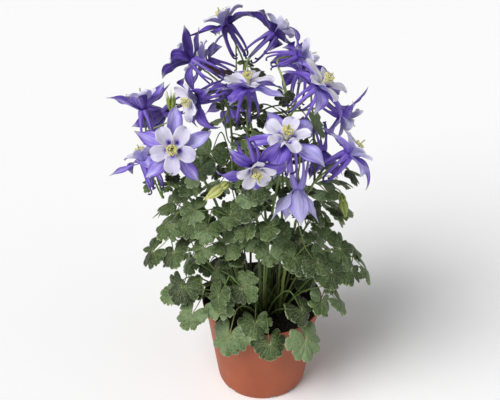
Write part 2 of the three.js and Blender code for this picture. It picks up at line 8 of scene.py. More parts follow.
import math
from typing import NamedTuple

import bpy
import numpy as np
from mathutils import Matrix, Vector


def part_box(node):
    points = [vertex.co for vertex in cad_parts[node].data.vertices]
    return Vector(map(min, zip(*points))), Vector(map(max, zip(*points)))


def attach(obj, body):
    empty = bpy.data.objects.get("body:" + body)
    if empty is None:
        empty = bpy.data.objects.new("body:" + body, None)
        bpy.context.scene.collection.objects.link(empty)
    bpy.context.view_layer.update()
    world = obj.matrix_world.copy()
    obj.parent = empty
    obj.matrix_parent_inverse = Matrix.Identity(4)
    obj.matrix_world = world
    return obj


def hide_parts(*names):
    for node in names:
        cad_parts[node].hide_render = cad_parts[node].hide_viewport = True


bl_info = {
    "name": "Potted columbine",
    "version": (1, 0, 0),
    "blender": (4, 5, 0),
    "location": "3D View > Sidebar > Columbine",
    "description": "Dresses the solids of a columbine in a nursery pot with fine surfaces and finishes",
    "category": "Add Mesh",
}

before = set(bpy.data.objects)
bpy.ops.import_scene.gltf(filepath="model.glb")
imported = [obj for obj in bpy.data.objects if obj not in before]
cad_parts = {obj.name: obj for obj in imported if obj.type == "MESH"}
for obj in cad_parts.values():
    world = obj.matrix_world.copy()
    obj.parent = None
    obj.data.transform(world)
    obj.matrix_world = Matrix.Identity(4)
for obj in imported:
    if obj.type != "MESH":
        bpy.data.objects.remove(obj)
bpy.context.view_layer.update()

MM = 0.001
RAD = math.pi / 180


# ---------- the plant's plan, in millimetres and degrees ----------
SOIL_LEVEL = 80
CROWN_RING = 15  # distance of each crown from the pot's axis
CROWN_RADIUS = 5
CROWNS = {"front": -90, "right": -18, "back_right": 54, "back_left": 126, "left": 198}

STEM_RADIUS = 1.6
PEDICEL_RADIUS = 0.9
STALK_RADIUS = 0.75
HOOK_WIDTH = 9  # of the bend over which a nodding bloom hangs
STEP_SAMPLES = 7  # fine lengths in each numbered step of a stem

FIFTH = 72  # the turn from one sepal, petal or spur to the next
SEPAL_LENGTH = 36
SEPAL_HALF_WIDTH = 7.6
# How wide a sepal is at places along it, from its claw to its tip, as a share of its widest place.
SEPAL_PLACES = (0, 0.12, 0.22, 0.32, 0.42, 0.52, 0.62, 0.72, 0.82, 0.91, 1)
SEPAL_SHARES = (0.24, 0.34, 0.6, 0.83, 0.97, 1, 0.92, 0.71, 0.42, 0.2, 0.03)
LIMB_LENGTH = 23.5  # of the blade of a white petal
LIMB_HALF_WIDTH = 7.2
BLADE_THICKNESS = 0.5
SPUR_LENGTH = 35
SPUR_THINNEST = 0.58
HUB_RADIUS = 3.1
RECEPTACLE_DEPTH = 1.8
COROLLA_RISE = 1.2
STAMEN_LENGTH = 14
STAMENS = 50  # in each tuft, the styles among them
STYLES = 5
GOLDEN_ANGLE = 137.5  # the turn from one stamen to the next, which spreads them evenly

BUD_LENGTH = 19
BUD_RADIUS = 4.4
SEED_THREADS = 14  # dry stamens round the young seed head

LEAFLET_HALF_THICKNESS = 0.22
LEAFLET_REACH = 59  # degrees from a leaflet's middle to its outermost edge
# How finely leaflets are made, from the large leaves to the small ones on the stems.
LEAF_FINENESS, SIDE_LEAF_FINENESS, STEM_LEAF_FINENESS = 0.88, 0.66, 0.58
LEAF_CLEARANCE = 24  # between a leaf on a stem and any bloom or bud
OLD_STALKS = 16  # of each crown

# How a bloom is open: start and end slopes of its parts, in degrees above the plane across its axis.
OPEN = {"sepals": (24, -24), "limbs": (56, 14), "spurs": (-64, -102)}
FLAT = {"sepals": (14, -24), "limbs": (40, 4), "spurs": (-60, -100)}
HALF_OPEN = {"sepals": (42, 20), "limbs": (66, 42), "spurs": (-66, -98)}
HANGING = {"sepals": (46, 72), "limbs": (72, 78), "spurs": (-62, -104)}


class Bloom(NamedTuple):
    """What the stem grows from (a crown, or another bloom's number and a point of its stem), the hub, the lean and
    heading of the axis, the roll of the petals, the form and the shade of the violet, from 0 for the deepest to 1
    for the palest. The rest sets a bloom apart: its size, how far behind the hub the stem joins the axis, how much
    painted grey shade its white petals get, and how long the petals and how broad the sepals are beside those of
    the others."""

    stem: object
    at: tuple
    axis: tuple
    roll: float
    form: dict
    shade: float
    size: float = 1
    reach: float = 38
    grey: float = 0.3
    petals: float = 1
    full: float = 1


# The blooms, in the order of their numbers.
BLOOMS = [
    Bloom("back_left", (-33, 30, 378), (33, 140), 10, OPEN, 0.15),
    Bloom((4, 4), (-62, -8, 363), (62, 150), 70, HALF_OPEN, 0.35, size=0.88, reach=34),
    Bloom("left", (-108, 4, 307), (30, 110), 47, HALF_OPEN, 0.45, size=0.95),
    Bloom("left", (-56, -50, 349), (95, -152), 20, OPEN, 0.25, size=0.95, reach=20),
    Bloom("front", (-14, -40, 353), (8, 90), -22, FLAT, 0.55, size=0.98, petals=1.07),
    Bloom("back_right", (9, 21, 374), (55, 36), 0, OPEN, 0.15, size=0.95),
    Bloom((8, 4), (28, -11, 369), (84, 10), 50, OPEN, 0.4, size=0.85, reach=16),
    Bloom("right", (46, -48, 358), (39, -4), 15, FLAT, 0.6, petals=1.1),
    Bloom("front", (18, -78, 323), (16, -66), 0, FLAT, 0.63, size=1.08, petals=0.9, full=0.86),
    Bloom("left", (-76, -80, 318), (68, -94), 0, FLAT, 0.67, size=1.02, grey=0.85, petals=0.93, full=0.78),
    Bloom((3, 4), (-104, -45, 283), (33, 140), 36, OPEN, 0.55, size=0.9, reach=36),
    Bloom("front", (-9, -128, 330), (108, -75), 36, OPEN, 0.3, size=0.9, reach=28, petals=0.91, full=0.84),
    Bloom((8, 3), (30, -61, 266), (157, -90), 0, HANGING, 1.05, reach=40),
    Bloom("right", (74, -40, 287), (54, 20), 16, OPEN, 0.6, full=1.22),
    Bloom((14, 4), (71, 16, 297), (129, -15), 38, OPEN, 0.45, size=0.9),
    Bloom((6, 3), (54, -6, 271), (150, -70), 0, HANGING, 0.5, size=0.85),
    Bloom((1, 4), (-52, 70, 322), (65, 162), 20, OPEN, 0.2),
    Bloom((1, 3), (-92, 45, 282), (124, 160), 0, HANGING, 0.15, size=0.9),
    Bloom((6, 3), (38, 92, 300), (60, 75), 12, OPEN, 0.4, size=0.95),
    Bloom((1, 3), (-28, 98, 262), (70, 110), 40, OPEN, 0.5, size=0.95),
]

# The compound leaves: what the stalk grows from, the fork where it divides, the turn from the line of the
# stalk, the droop below level, the size of a leaflet and how many times three leaflets it has.
LEAVES = [
    ("left", (-74, -25, 221), 10, 40, 15, 3),
    ("left", (-87, -18, 184), 0, 45, 16, 3),
    ("left", (-66, -38, 166), 15, 55, 16, 1),
    ("left", (-71, -28, 143), -5, 40, 14, 1),
    ("left", (-56, -44, 136), 10, 38, 15, 3),
    ("left", (-44, -43, 206), -15, 45, 13, 3),
    ("front", (-31, -52, 164), -10, 55, 15, 3),
    ("front", (-24, -50, 122), 0, 60, 19, 1),
    ("front", (4, -54, 114), 5, 60, 17, 1),
    ("front", (30, -50, 118), 0, 55, 19, 1),
    ("right", (61, -22, 128), 5, 50, 15, 3),
    ("right", (86, -20, 162), 5, 50, 14, 3),
    ("right", (56, -40, 183), -20, 45, 15, 3),
    ("front", (3, -48, 209), 5, 45, 13, 3),
    ("right", (53, -12, 222), 10, 35, 13, 3),
    ("front", (-6, -40, 122), 10, 30, 14, 1),
    ("front", (26, -44, 138), 10, 50, 14, 1),
    ("back_right", (66, 30, 136), 0, 45, 16, 3),
    ("back_right", (38, 60, 128), -5, 45, 17, 3),
    ("back_right", (63, 37, 190), 0, 40, 15, 3),
    ("back_right", (26, 70, 192), 0, 40, 16, 3),
    ("back_left", (-26, 66, 126), 0, 45, 17, 3),
    ("back_left", (-64, 34, 138), 0, 45, 16, 3),
    ("back_left", (-34, 66, 196), 0, 40, 18, 1),
    ("back_left", (-78, 28, 196), 0, 40, 15, 3),
    ((9, 3), (-2, -54, 234), 15, 40, 13, 3),
    ((10, 2), (-46, -50, 236), 0, 40, 13, 3),
    ((8, 3), (38, -52, 196), 0, 40, 13, 3),
    ((5, 4), (-16, -66, 290), 40, 35, 13, 1),
    ((4, 4), (-30, -34, 296), 0, 30, 15, 1),
    ((14, 4), (64, -8, 244), 0, 40, 15, 1),
    ((17, 2), (-40, 62, 262), 0, 30, 13, 1),
    ((19, 2), (30, 70, 250), 0, 30, 13, 1),
    ((4, 2), (-44, -38, 291), 0, 35, 16, 1),
    ((5, 2), (-14, -52, 262), 10, 40, 13, 1),
    ((8, 2), (4, -44, 297), 0, 35, 14, 1),
    ((14, 4), (64, -36, 274), 0, 35, 14, 1),
    ((9, 2), (-6, -10, 241), 0, 40, 12, 1),
    ((4, 2), (-38, -16, 296), 70, 40, 15, 1),
    ((5, 2), (-18, -34, 286), 70, 45, 14, 1),
    ((8, 2), (-2, -55, 282), 0, 40, 15, 1),
    ((6, 3), (6, -20, 325), 60, 40, 14, 1),
    ((6, 3), (30, -20, 323), 0, 40, 14, 1),
]

# The buds: what the stalk grows from, the tip, the lean and the heading, how plump it is, and its tone from 0 for
# a brown one to 1 for a pale green one. The last one is a young seed head.
BUDS = [
    ((4, 3), (-51, -72, 261), 114, 210, 1.15, 1.1),
    ((14, 4), (77, -26, 211), 165, -30, 1, 0.62),
    ((1, 5), (-50, 12, 347), 65, 190, 0.75, 0.05),
    ((3, 5), (-82, -8, 334), 10, 90, 1, 0.45),
]
SEED_HEAD = BUDS[-1]

# The pot, with the channels and holes in its base, and the soil.
POT_CORNERS = 144
CHANNELS = 12
CHANNEL_WIDTH, CHANNEL_DEPTH = 9, 3
CHANNEL_FROM, CHANNEL_TO = 25, 62  # distances of a channel's ends from the pot's axis
HOLE_RADIUS, HOLE_AT = 3.2, 33
SOIL_FOOT_RADIUS = 41
SOIL_DIP = 3  # how much lower the soil is at the wall than in the middle
SOIL_ROWS, SOIL_CORNERS, SOIL_SEED = 44, 150, 3

# The stage, in metres and degrees.
CAMERA_AT = (-0.012, -0.9456, 0.8358)
CAMERA_DOWN = 33.379  # below level
CAMERA_LENS = 86.4
KEY_FROM, KEY_SOFTNESS = (-0.7, -0.6, 1.0), 40
FILL_FROM, FILL_SOFTNESS = (0.9, -0.5, 0.7), 60
FLOOR_HALF_WIDTH = 6


# ---------- small tools ----------
def linear(code):
    """A colour written as six hexadecimal digits, as the linear values that shaders use."""
    shares = [int(code[i : i + 2], 16) / 255 for i in (0, 2, 4)]
    return tuple(s / 12.92 if s <= 0.04045 else ((s + 0.055) / 1.055) ** 2.4 for s in shares)


def vec(*values):
    return np.array(values, float)


UP = vec(0, 0, 1)


def unit(vector):
    return vector / np.linalg.norm(vector)


def direction(lean, heading):
    """The unit vector that leans from upright by lean degrees, towards heading degrees from +X."""
    flat = math.sin(lean * RAD)
    return vec(flat * math.cos(heading * RAD), flat * math.sin(heading * RAD), math.cos(lean * RAD))


def smooth(value, low, high):
    """0 below low, 1 above high and an even ramp with soft ends between them."""
    share = np.clip((np.asarray(value, float) - low) / (high - low), 0, 1)
    return share * share * (3 - 2 * share)


def spline(bends, steps):
    """A centripetal spline through the bends, with steps lengths between each two of them."""
    ends = [2 * bends[0] - bends[1], *bends, 2 * bends[-1] - bends[-2]]
    points = []
    for before, start, end, after in zip(ends, ends[1:], ends[2:], ends[3:]):
        pairs = ((before, start), (start, end), (end, after))
        first, chord, last = (math.sqrt(np.linalg.norm(b - a)) for a, b in pairs)
        leave = (start - before) / first - (end - before) / (first + chord) + (end - start) / chord
        arrive = (end - start) / chord - (after - start) / (chord + last) + (after - end) / last
        leave, arrive = leave * chord, arrive * chord
        for i in range(steps):
            t = i / steps
            bend = (2 * start - 2 * end + leave + arrive) * t**3
            points.append(start + leave * t + (3 * end - 3 * start - 2 * leave - arrive) * t**2 + bend)
    points.append(bends[-1])
    return np.array(points)


def linked(name, data):
    """A new object with its data, in the scene."""
    thing = bpy.data.objects.new(name, data)
    bpy.context.scene.collection.objects.link(thing)
    return thing


def placed(points, matrix):
    return points @ matrix[:3, :3].T + matrix[:3, 3]


def tube_rings(line, radii, corners, ribs=1):
    """Round rings along a line of points. ribs gives each corner's share of the radius."""
    ways = np.vstack([line[1:], line[-1:]]) - np.vstack([line[:1], line[:-1]])
    ways /= np.linalg.norm(ways, axis=1, keepdims=True)
    normal = np.cross(ways[0], vec(0.3, 1, 0.2))
    turns = np.arange(corners) * 2 * math.pi / corners
    rings = []
    for point, way, radius in zip(line, ways, radii):
        normal = unit(normal - way * normal.dot(way))
        circle = np.outer(np.cos(turns) * ribs, normal) + np.outer(np.sin(turns) * ribs, np.cross(way, normal))
        rings.append(point + radius * circle)
    return np.array(rings)


def lathe_rings(outline, corners):
    """The rings of a turned shape, from its outline of radii and heights."""
    turns = np.arange(corners) * 2 * math.pi / corners
    circle = np.stack([np.cos(turns), np.sin(turns), np.zeros(corners)], axis=1)
    return np.array([radius * circle + UP * height for radius, height in outline])


def tube_marks(rows, count, shade):
    """Marks for a tube: across goes round it, and along from one end to the other."""
    marks = np.empty((rows, count, 3))
    marks[..., 0] = np.abs(np.linspace(-1, 1, count, endpoint=False))
    marks[..., 1] = np.linspace(0, 1, rows)[:, None]
    marks[..., 2] = shade
    return marks


class Skin:
    """The surface of one piece, gathered from closed sleeves. Each point keeps marks of where it is on its part,
    which are across, along and a shade of its own, and which side it is on."""

    def __init__(self):
        self.points, self.faces, self.marks, self.sides, self.parts = [], [], [], [], []

    def sleeve(self, rings, marks=0, sides=1, part=0):
        """Joins rings of points, all with the same number, into one closed skin with a cap at each end."""
        rows, count = rings.shape[:2]
        start = len(self.points)
        self.points.extend(rings.reshape(-1, 3).tolist())
        self.marks.extend(np.broadcast_to(marks, (rows, count, 3)).reshape(-1, 3).tolist())
        self.sides.extend(np.broadcast_to(sides, (rows, count)).reshape(-1).tolist())
        for low in range(start, start + (rows - 1) * count, count):
            for k in range(count):
                after = (k + 1) % count
                self.faces.append((low + k, low + after, low + count + after, low + count + k))
        self.faces.append(tuple(start + k for k in reversed(range(count))))
        self.faces.append(tuple(start + (rows - 1) * count + k for k in range(count)))
        self.parts.extend([part] * ((rows - 1) * count + 2))

    def tube(self, line, radii, corners, shade, part=0, matrix=None):
        """A round sleeve along a line, which a matrix can bring to its place."""
        rings = tube_rings(line, radii, corners)
        rings = rings if matrix is None else placed(rings, matrix)
        self.sleeve(rings, tube_marks(len(line), corners, shade), part=part)

    def mesh(self, name):
        """The bare mesh, in metres."""
        mesh = bpy.data.meshes.new(name)
        mesh.from_pydata((np.array(self.points) * MM).tolist(), [], self.faces)
        return mesh

    def piece(self, name, materials, node, slot):
        """The finished object, riding on the plant's one body in place of its solid."""
        mesh = self.mesh(name)
        marks = mesh.attributes.new("place", "FLOAT_VECTOR", "POINT")
        marks.data.foreach_set("vector", np.array(self.marks, np.float32).reshape(-1))
        sides = mesh.attributes.new("side", "FLOAT", "POINT")
        sides.data.foreach_set("value", np.array(self.sides, np.float32))
        for material in materials:
            mesh.materials.append(material)
        mesh.polygons.foreach_set("material_index", self.parts)
        mesh.polygons.foreach_set("use_smooth", [True] * len(mesh.polygons))
        mesh.validate()
        mesh.update()
        piece = linked(name, mesh)
        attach(piece, "root")
        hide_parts(node)
        return piece


# ---------- the stems' lines ----------
def crown_centre(crown):
    turn = CROWNS[crown] * RAD
    return vec(CROWN_RING * math.cos(turn), CROWN_RING * math.sin(turn), SOIL_LEVEL)


def crown_of(source):
    """The crown on which a stem or stalk stands, whether straight or by way of another stem."""
    return source if isinstance(source, str) else crown_of(BLOOMS[source[0] - 1].stem)


def branches(bloom):
    return not isinstance(bloom.stem, str)


def foot_of(source, goal):
    """Where a stem or stalk starts: on a crown, or at a numbered point of a numbered bloom's stem."""
    if isinstance(source, str):
        centre = crown_centre(source)
        away = unit(vec(goal[0] - centre[0], goal[1] - centre[1], 0))
        return centre + away * CROWN_RADIUS * 0.45
    return stem_line(BLOOMS[source[0] - 1])[source[1] * STEP_SAMPLES]


def stem_line(bloom):
    """The points of a bloom's stem, from its foot up to the back of the bloom."""
    hub = vec(*bloom.at)
    axis = direction(*bloom.axis)
    foot = foot_of(bloom.stem, hub)
    end = hub - axis * bloom.size * RECEPTACLE_DEPTH * 0.5
    behind = hub - axis * bloom.reach
    bow = foot + (behind - foot) * (0.45 if branches(bloom) else 0.36)
    bow[2] = foot[2] + (behind[2] - foot[2]) * (0.6 if branches(bloom) else 0.55)
    bends = [foot, bow, behind, end]
    if axis[2] < -0.4:
        aside = HOOK_WIDTH * unit(vec(foot[0] - behind[0], foot[1] - behind[1], 0))
        bow += 1.5 * aside
        bends.insert(2, behind + aside)
    return spline(bends, 2 * STEP_SAMPLES)


def bloom_place(bloom):
    """The matrix from a bloom's own millimetres, its axis along +Z, to the plant's."""
    lean, heading = bloom.axis
    turn = Matrix.Rotation(heading * RAD, 4, "Z") @ Matrix.Rotation(lean * RAD, 4, "Y")
    return np.array(Matrix.Translation(bloom.at) @ turn @ Matrix.Scale(bloom.size, 4))


# ---------- blooms ----------
def blade_line(turn, base, length, slopes, rows, curl, curl_from, sway):
    """The middle line of a blade that rises from the plane across the bloom's axis, and the ways across it and
    out of its face at each point. curl bends what lies past curl_from on, and sway carries the tip sideways."""
    t = np.linspace(0, 1, rows)
    slope = (slopes[0] + (slopes[1] - slopes[0]) * t + curl * smooth(t, curl_from, 1.0)) * RAD
    step = length / (rows - 1)
    middle = (slope[1:] + slope[:-1]) / 2
    run = base[0] + np.concatenate([[0], np.cumsum(np.cos(middle))]) * step
    rise = base[1] + np.concatenate([[0], np.cumsum(np.sin(middle))]) * step
    out = vec(math.cos(turn * RAD), math.sin(turn * RAD), 0)
    across = vec(-out[1], out[0], 0)
    points = np.outer(run, out) + np.outer(rise, UP) + np.outer(sway * t**2, across)
    faces = np.outer(-np.sin(slope), out) + np.outer(np.cos(slope), UP)
    return t, points, np.tile(across, (rows, 1)), faces


def twisted(line, angle):
    """The same line with its section turned about it, from nothing at the foot to angle at the tip."""
    t, points, across, faces = line
    turn = (angle * t)[:, None] * RAD
    return t, points, across * np.cos(turn) + faces * np.sin(turn), faces * np.cos(turn) - across * np.sin(turn)


def blade(skin, matrix, line, half_widths, lift, shade):
    """Adds a thin blade. Its sections are closed rings: the upper side from edge to edge, then the lower side
    back. lift gives how far each place of the blade stands off its flat section."""
    t, points, across, faces = line
    columns = 13
    s = np.linspace(-1, 1, columns)
    spread = half_widths[:, None] * s[None, :]
    raised = lift(t[:, None], s[None, :])
    middle = points[:, None] + spread[..., None] * across[:, None] + raised[..., None] * faces[:, None]
    half = BLADE_THICKNESS * (1 - 0.8 * s**2)[None, :, None] / 2 * faces[:, None]
    rings = np.concatenate([middle + half, (middle - half)[:, ::-1]], axis=1)
    marks = np.empty(rings.shape)
    marks[..., 0] = np.concatenate([s, s[::-1]])[None, :]
    marks[..., 1] = t[:, None]
    marks[..., 2] = shade
    sides = np.repeat([1.0, -1.0], columns)
    skin.sleeve(placed(rings[:, ::-1], matrix), marks[:, ::-1], sides[::-1])


def sepal(skin, matrix, turn, slopes, bloom, rng):
    """A violet blade on a narrow claw, folded along its middle, that arches over to a long wavy tip."""
    curl, sway, twist = rng.uniform(-62, 24), rng.uniform(-5, 5), rng.uniform(-42, 42)
    if slopes[1] > 40:
        curl, twist = curl / 3, twist / 2
    length = SEPAL_LENGTH * rng.uniform(0.97, 1.07)
    line = twisted(blade_line(turn, (HUB_RADIUS * 0.6, -0.4), length, slopes, 25, curl, 0.5, sway), twist)
    broad = SEPAL_HALF_WIDTH * bloom.full * rng.uniform(1.0, 1.24)
    phase = rng.uniform(0, 6)
    ripple = rng.uniform(1.0, 2.7)
    cup = rng.uniform(-0.08, 0.36)
    keel = rng.uniform(0.5, 1.4)

    def lift(t, s):
        trough = SEPAL_HALF_WIDTH * cup * s**2 * np.sin(math.pi * t**0.7)
        wave = ripple * np.abs(s) ** 1.5 * np.sin(9 * t + phase + 1.4 * s) * np.sin(math.pi * t**0.7)
        return trough + wave - keel * (1 - np.abs(s)) ** 2.5 * np.sin(math.pi * t**0.8)

    widths = broad * np.interp(line[0], SEPAL_PLACES, SEPAL_SHARES)
    blade(skin, matrix, line, widths, lift, bloom.shade + rng.uniform(-0.15, 0.2))


def spur(skin, matrix, turn, bloom, rng):
    """A long spur that tapers backwards from a wide mouth, and hooks round to a small knob."""
    start, end = bloom.form["spurs"]
    curl = rng.choice([-1, -1, -1, 1]) * rng.uniform(70, 170)
    length = SPUR_LENGTH * rng.uniform(0.87, 1.05)
    slopes = (start + rng.uniform(-5, 5), end + rng.uniform(-14, 10))
    line = blade_line(turn, (HUB_RADIUS * 0.9, -0.4), length, slopes, 26, curl, 0.8, rng.uniform(-6, 6))
    t = line[0]
    mouth = 1.5 * (1 - smooth(t, 0, 0.36)) + 1.15 * (1 - t) ** 0.8
    knob = 0.45 * np.exp(-(((t - 0.965) / 0.025) ** 2))
    radii = (SPUR_THINNEST + mouth + knob) * np.sqrt(1 - smooth(t, 0.97, 1.02))
    skin.tube(line[1], radii, 10, bloom.shade, part=1, matrix=matrix)


def calyx(skin, bloom, rng):
    """Five sepals, and the five spurs that stand between them."""
    matrix = bloom_place(bloom)
    start, end = bloom.form["sepals"]
    for k in range(5):
        droop = 12 * math.sin(2.3 * k + bloom.roll + FIFTH / 2)
        sepal(skin, matrix, bloom.roll + FIFTH / 2 + FIFTH * k, (start, end + droop), bloom, rng)
        spur(skin, matrix, bloom.roll + FIFTH * k, bloom, rng)


def limb(skin, matrix, turn, slopes, bloom, rng):
    """A rounded white blade, folded into a throat at its foot."""
    curl, sway, twist = rng.uniform(-48, 8), rng.uniform(-2, 2), rng.uniform(-14, 14)
    length = LIMB_LENGTH * bloom.petals * rng.uniform(0.85, 0.94)
    base = (HUB_RADIUS * 0.7, COROLLA_RISE + 0.2)
    line = twisted(blade_line(turn, base, length, slopes, 20, curl, 0.6, sway), twist)
    t = line[0]
    rounded = np.sqrt(np.clip(1 - (np.clip(t - 0.64, 0, 1) / 0.36) ** 2, 0, 1))
    broad = np.interp(t, (0, 0.1, 0.2, 0.35, 0.5, 0.66), (0.3, 0.46, 0.6, 0.78, 0.92, 1))
    phase = rng.uniform(0, 6)

    def lift(t, s):
        throat = LIMB_HALF_WIDTH * s**2 * (0.6 * (1 - smooth(t, 0.12, 0.6)) * t**0.5 + 0.2)
        wave = 0.7 * s**2 * np.sin(7 * t + phase + 2 * s)
        return throat + wave - 0.45 * (1 - np.abs(s)) ** 3 * (t > 0.1)

    widths = LIMB_HALF_WIDTH * 0.96 * broad * rounded + 0.1
    # The petal's mark: how much painted grey shade its white gets, from the bloom's grey and a random difference.
    blade(skin, matrix, line, widths, lift, bloom.grey + rng.uniform(-0.15, 0.15))


def corolla(skin, bloom, rng):
    """Five white petals, one in front of each spur."""
    start, end = bloom.form["limbs"]
    for k in range(5):
        droop = 8 * math.sin(2.3 * k + bloom.roll)
        limb(skin, bloom_place(bloom), bloom.roll + FIFTH * k, (start, end + droop), bloom, rng)


def stamens(skin, bloom, rng):
    """A dense tuft of pale filaments with yellow anthers round five longer green styles."""
    matrix = bloom_place(bloom)
    foot = COROLLA_RISE + 0.4
    style_length = rng.uniform(1.15, 1.45)
    for i in range(STAMENS):
        is_style = i < STYLES
        turn = i * GOLDEN_ANGLE * RAD
        spread = 0.6 if is_style else 0.9 + 3.7 * math.sqrt((i - STYLES + 1) / (STAMENS - STYLES))
        height = STAMEN_LENGTH * (style_length if is_style else rng.uniform(0.6, 1.0))
        out = vec(math.cos(turn), math.sin(turn), 0)
        top = out * spread + UP * (foot + height)
        root = out * min(spread, 1.3) * 0.7 + UP * foot
        line = spline([root, root * 0.45 + top * 0.55 - out * spread * 0.25, top], 3)
        skin.tube(line, np.linspace(0.26, 0.13, len(line)), 4, 0.2, part=int(is_style), matrix=matrix)
        if not is_style:
            tilt = unit(vec(rng.normal(), rng.normal(), rng.normal() + 1.2))
            anther = top + np.outer(np.linspace(-0.95, 0.95, 5), tilt)
            skin.tube(anther, (0.12, 0.48, 0.58, 0.48, 0.12), 6, 0.8, part=2, matrix=matrix)


# ---------- leaves ----------
def painted_leaf_shade(point):
    """How much darker a leaf is painted, as painted shade from the leaves round it: most near the middle, less outside
    and at the right, where it turns to painted light that makes the leaf lighter.
    """
    away = math.hypot(point[0], point[1] * 1.2)
    return 0.66 * (1 - smooth(away, 22, 66)) - 0.16 * smooth(away, 48, 80) - 0.22 * smooth(point[0], 30, 75)


def leaflet(skin, centre, ways, turn, size, shade, rng, fineness):
    """A broad leaflet on a short wedge of a foot, with three rounded lobes that are scalloped again. Each lobe is
    domed, the edge is wavy, and the leaflet tilts its own way from the leaf's centre."""
    forward, across, up = ways
    columns, rows = round(10 * fineness), 1 + 2 * round(20 * fineness)
    theta = np.linspace(-1, 1, rows)  # from one edge, by the middle, to the other
    rho = np.concatenate([[0.05], np.linspace(0.16, 1, columns - 1)])  # from the foot to the end
    aside = theta[:, None]

    # The outline: two sinuses, the lobes' round ends, their scallops and the narrow foot.
    sinus = rng.uniform(0.34, 0.42, 2)
    lobe = np.where(theta < 0, -theta / sinus[0], theta / sinus[1])
    outer = np.clip((np.abs(theta) - np.where(theta < 0, *sinus)) / 0.6, 0, 1)
    inside = np.where(lobe < 1, lobe, 2 * outer - 1)
    reach = np.where(lobe < 1, 1.0, rng.uniform(0.88, 0.97)) - 0.05 * inside**2
    reach += 0.045 * np.abs(np.sin(1.5 * math.pi * (inside + 1) + rng.uniform(-0.3, 0.3))) ** 0.7
    reach -= rng.uniform(0.04, 0.18) * np.exp(-(((lobe - 1) / 0.15) ** 2))
    reach *= 1 - 0.25 * smooth(np.abs(theta), 0.74, 1.0)
    far = reach[:, None] * rho
    shoulder = 0.72 + 0.3 * np.sin(math.pi * rho**0.8 * 0.75)
    angle = ((turn + rng.uniform(-8, 8) + LEAFLET_REACH * aside * shoulder) * RAD)[..., None]
    run = size * rng.uniform(0.98, 1.2) * far

    # The surface: a dome that tilts, rolls and sags, domed lobes, a wavy edge, a fine crumple and sunken veins.
    sag, bend, roll = rng.uniform(0.0, 0.4), rng.uniform(-0.32, 0.28), rng.uniform(-0.34, 0.34)
    height = 0.07 * size * np.sin(math.pi * rho**0.8) * (1 - 0.5 * aside**2)
    height += size * far * (bend + roll * aside - sag * far)
    height += size * rng.uniform(0.03, 0.11) * (1 - inside**2)[:, None] * rho**1.7
    height += size * rng.uniform(0.02, 0.08) * np.sin(6 * aside + rng.uniform(0, 6)) * rho**3
    height += 0.02 * size * np.sin(11 * aside + rng.uniform(0, 6)) * np.sin(9 * rho) * rho
    for vein, sink in ((0.0, rng.uniform(0.1, 0.6)), (0.68, 0.25), (-0.68, 0.25)):
        height -= sink * np.exp(-(((aside - vein) / 0.12) ** 2)) * rho * (1 - 0.6 * rho)

    middle = centre + run[..., None] * (np.cos(angle) * forward + np.sin(angle) * across) + height[..., None] * up
    half = LEAFLET_HALF_THICKNESS * (1 - 0.75 * rho**4)[None, :, None] * up
    rings = np.concatenate([middle + half, (middle - half)[:, ::-1]], axis=1)
    marks = np.empty(rings.shape)
    marks[..., 0] = aside
    marks[..., 1] = np.concatenate([rho, rho[::-1]])[None, :]
    # The leaf's tone, less its painted shade from the leaves round it, plus painted light outside and at the right,
    # with a random difference of its own.
    marks[..., 2] = shade - painted_leaf_shade(centre) + rng.uniform(-0.28, 0.28)
    skin.sleeve(rings, marks, np.repeat([1.0, -1.0], columns))


def three_leaflets(blades, centre, way, upper, size, shade, rng, fineness):
    """Three leaflets round one centre, the middle one pointing along way."""
    ways = (way, np.cross(upper, way), upper)
    for turn in (-102, 102, 0):
        leaflet(blades, centre + upper * rng.uniform(-0.3, 0.3), ways, turn, size, shade, rng, fineness)


def twig(stalks, foot, bow, centre):
    """The thin short stalk of a small leaf."""
    path = spline([foot, bow, centre], 3)
    stalks.tube(path, np.linspace(0.7, 0.4, len(path)), 5, 0.8)


def compound_leaf(blades, stalks, leaf, rng):
    """A leaf of three or three times three leaflets, all in one drooping plane round the fork of its stalk."""
    source, fork, turn, droop, size, units = leaf
    end = vec(*fork)
    foot = foot_of(source, end)
    heading = math.atan2(end[1] - foot[1], end[0] - foot[0]) / RAD + turn
    forward = direction(90 + droop, heading)
    face = direction(droop, heading)
    across = np.cross(face, forward)
    bow = (foot + end) / 2
    bow[2] += 0.1 * (end[2] - foot[2]) + 5
    stalk = spline([foot, bow, end], 8)
    # The low leaves at the front get a light tone: painted light, as they lie in the full light.
    painted_light_front = source == "front" and end[2] < 130 and abs(end[0]) > 10
    shade = rng.uniform(0.55, 0.85) if painted_light_front else rng.uniform(-0.15, 0.85)
    for side in (0, -80, 80) if units == 3 else (0,):
        way = unit(forward * math.cos(side * RAD) + across * math.sin(side * RAD) + face * (-0.2 if side else 0))
        upper = unit(face - way * face.dot(way))
        centre = end + way * size * (1.3 if side else 1.45)
        line = spline([end, (end + centre) / 2 + UP * rng.uniform(-1.5, 0.5), centre], 4)
        if units == 1:
            line = spline([foot, bow, end, centre], 8)
        elif not side:
            line = np.vstack([stalk[:-1], line])
        radii = STALK_RADIUS * np.linspace(0.8 if side else 1.25, 0.55, len(line))
        stalks.tube(line, radii, 6, rng.uniform(0.15, 0.9))
        three_leaflets(blades, centre, way, upper, size, shade, rng, LEAF_FINENESS)
    if units == 3 and source != "front":
        for point in (5, 11) if end[1] > 0 else (11,):
            side_leaf(blades, stalks, stalk[point], heading + rng.choice([-1, 1]) * rng.uniform(40, 110), size, rng)


def side_leaf(blades, stalks, foot, heading, size, rng):
    """A younger leaf of three leaflets that leaves a stalk sideways."""
    droop = rng.uniform(5, 50)
    size = size * rng.uniform(0.7, 0.9)
    centre = foot + direction(80, heading) * size * rng.uniform(1.0, 1.7)
    twig(stalks, foot, (foot + centre) / 2 + UP * 1.5, centre)
    way, upper = direction(90 + droop, heading), direction(droop, heading)
    three_leaflets(blades, centre, way, upper, size, rng.uniform(-0.05, 0.6), rng, SIDE_LEAF_FINENESS)


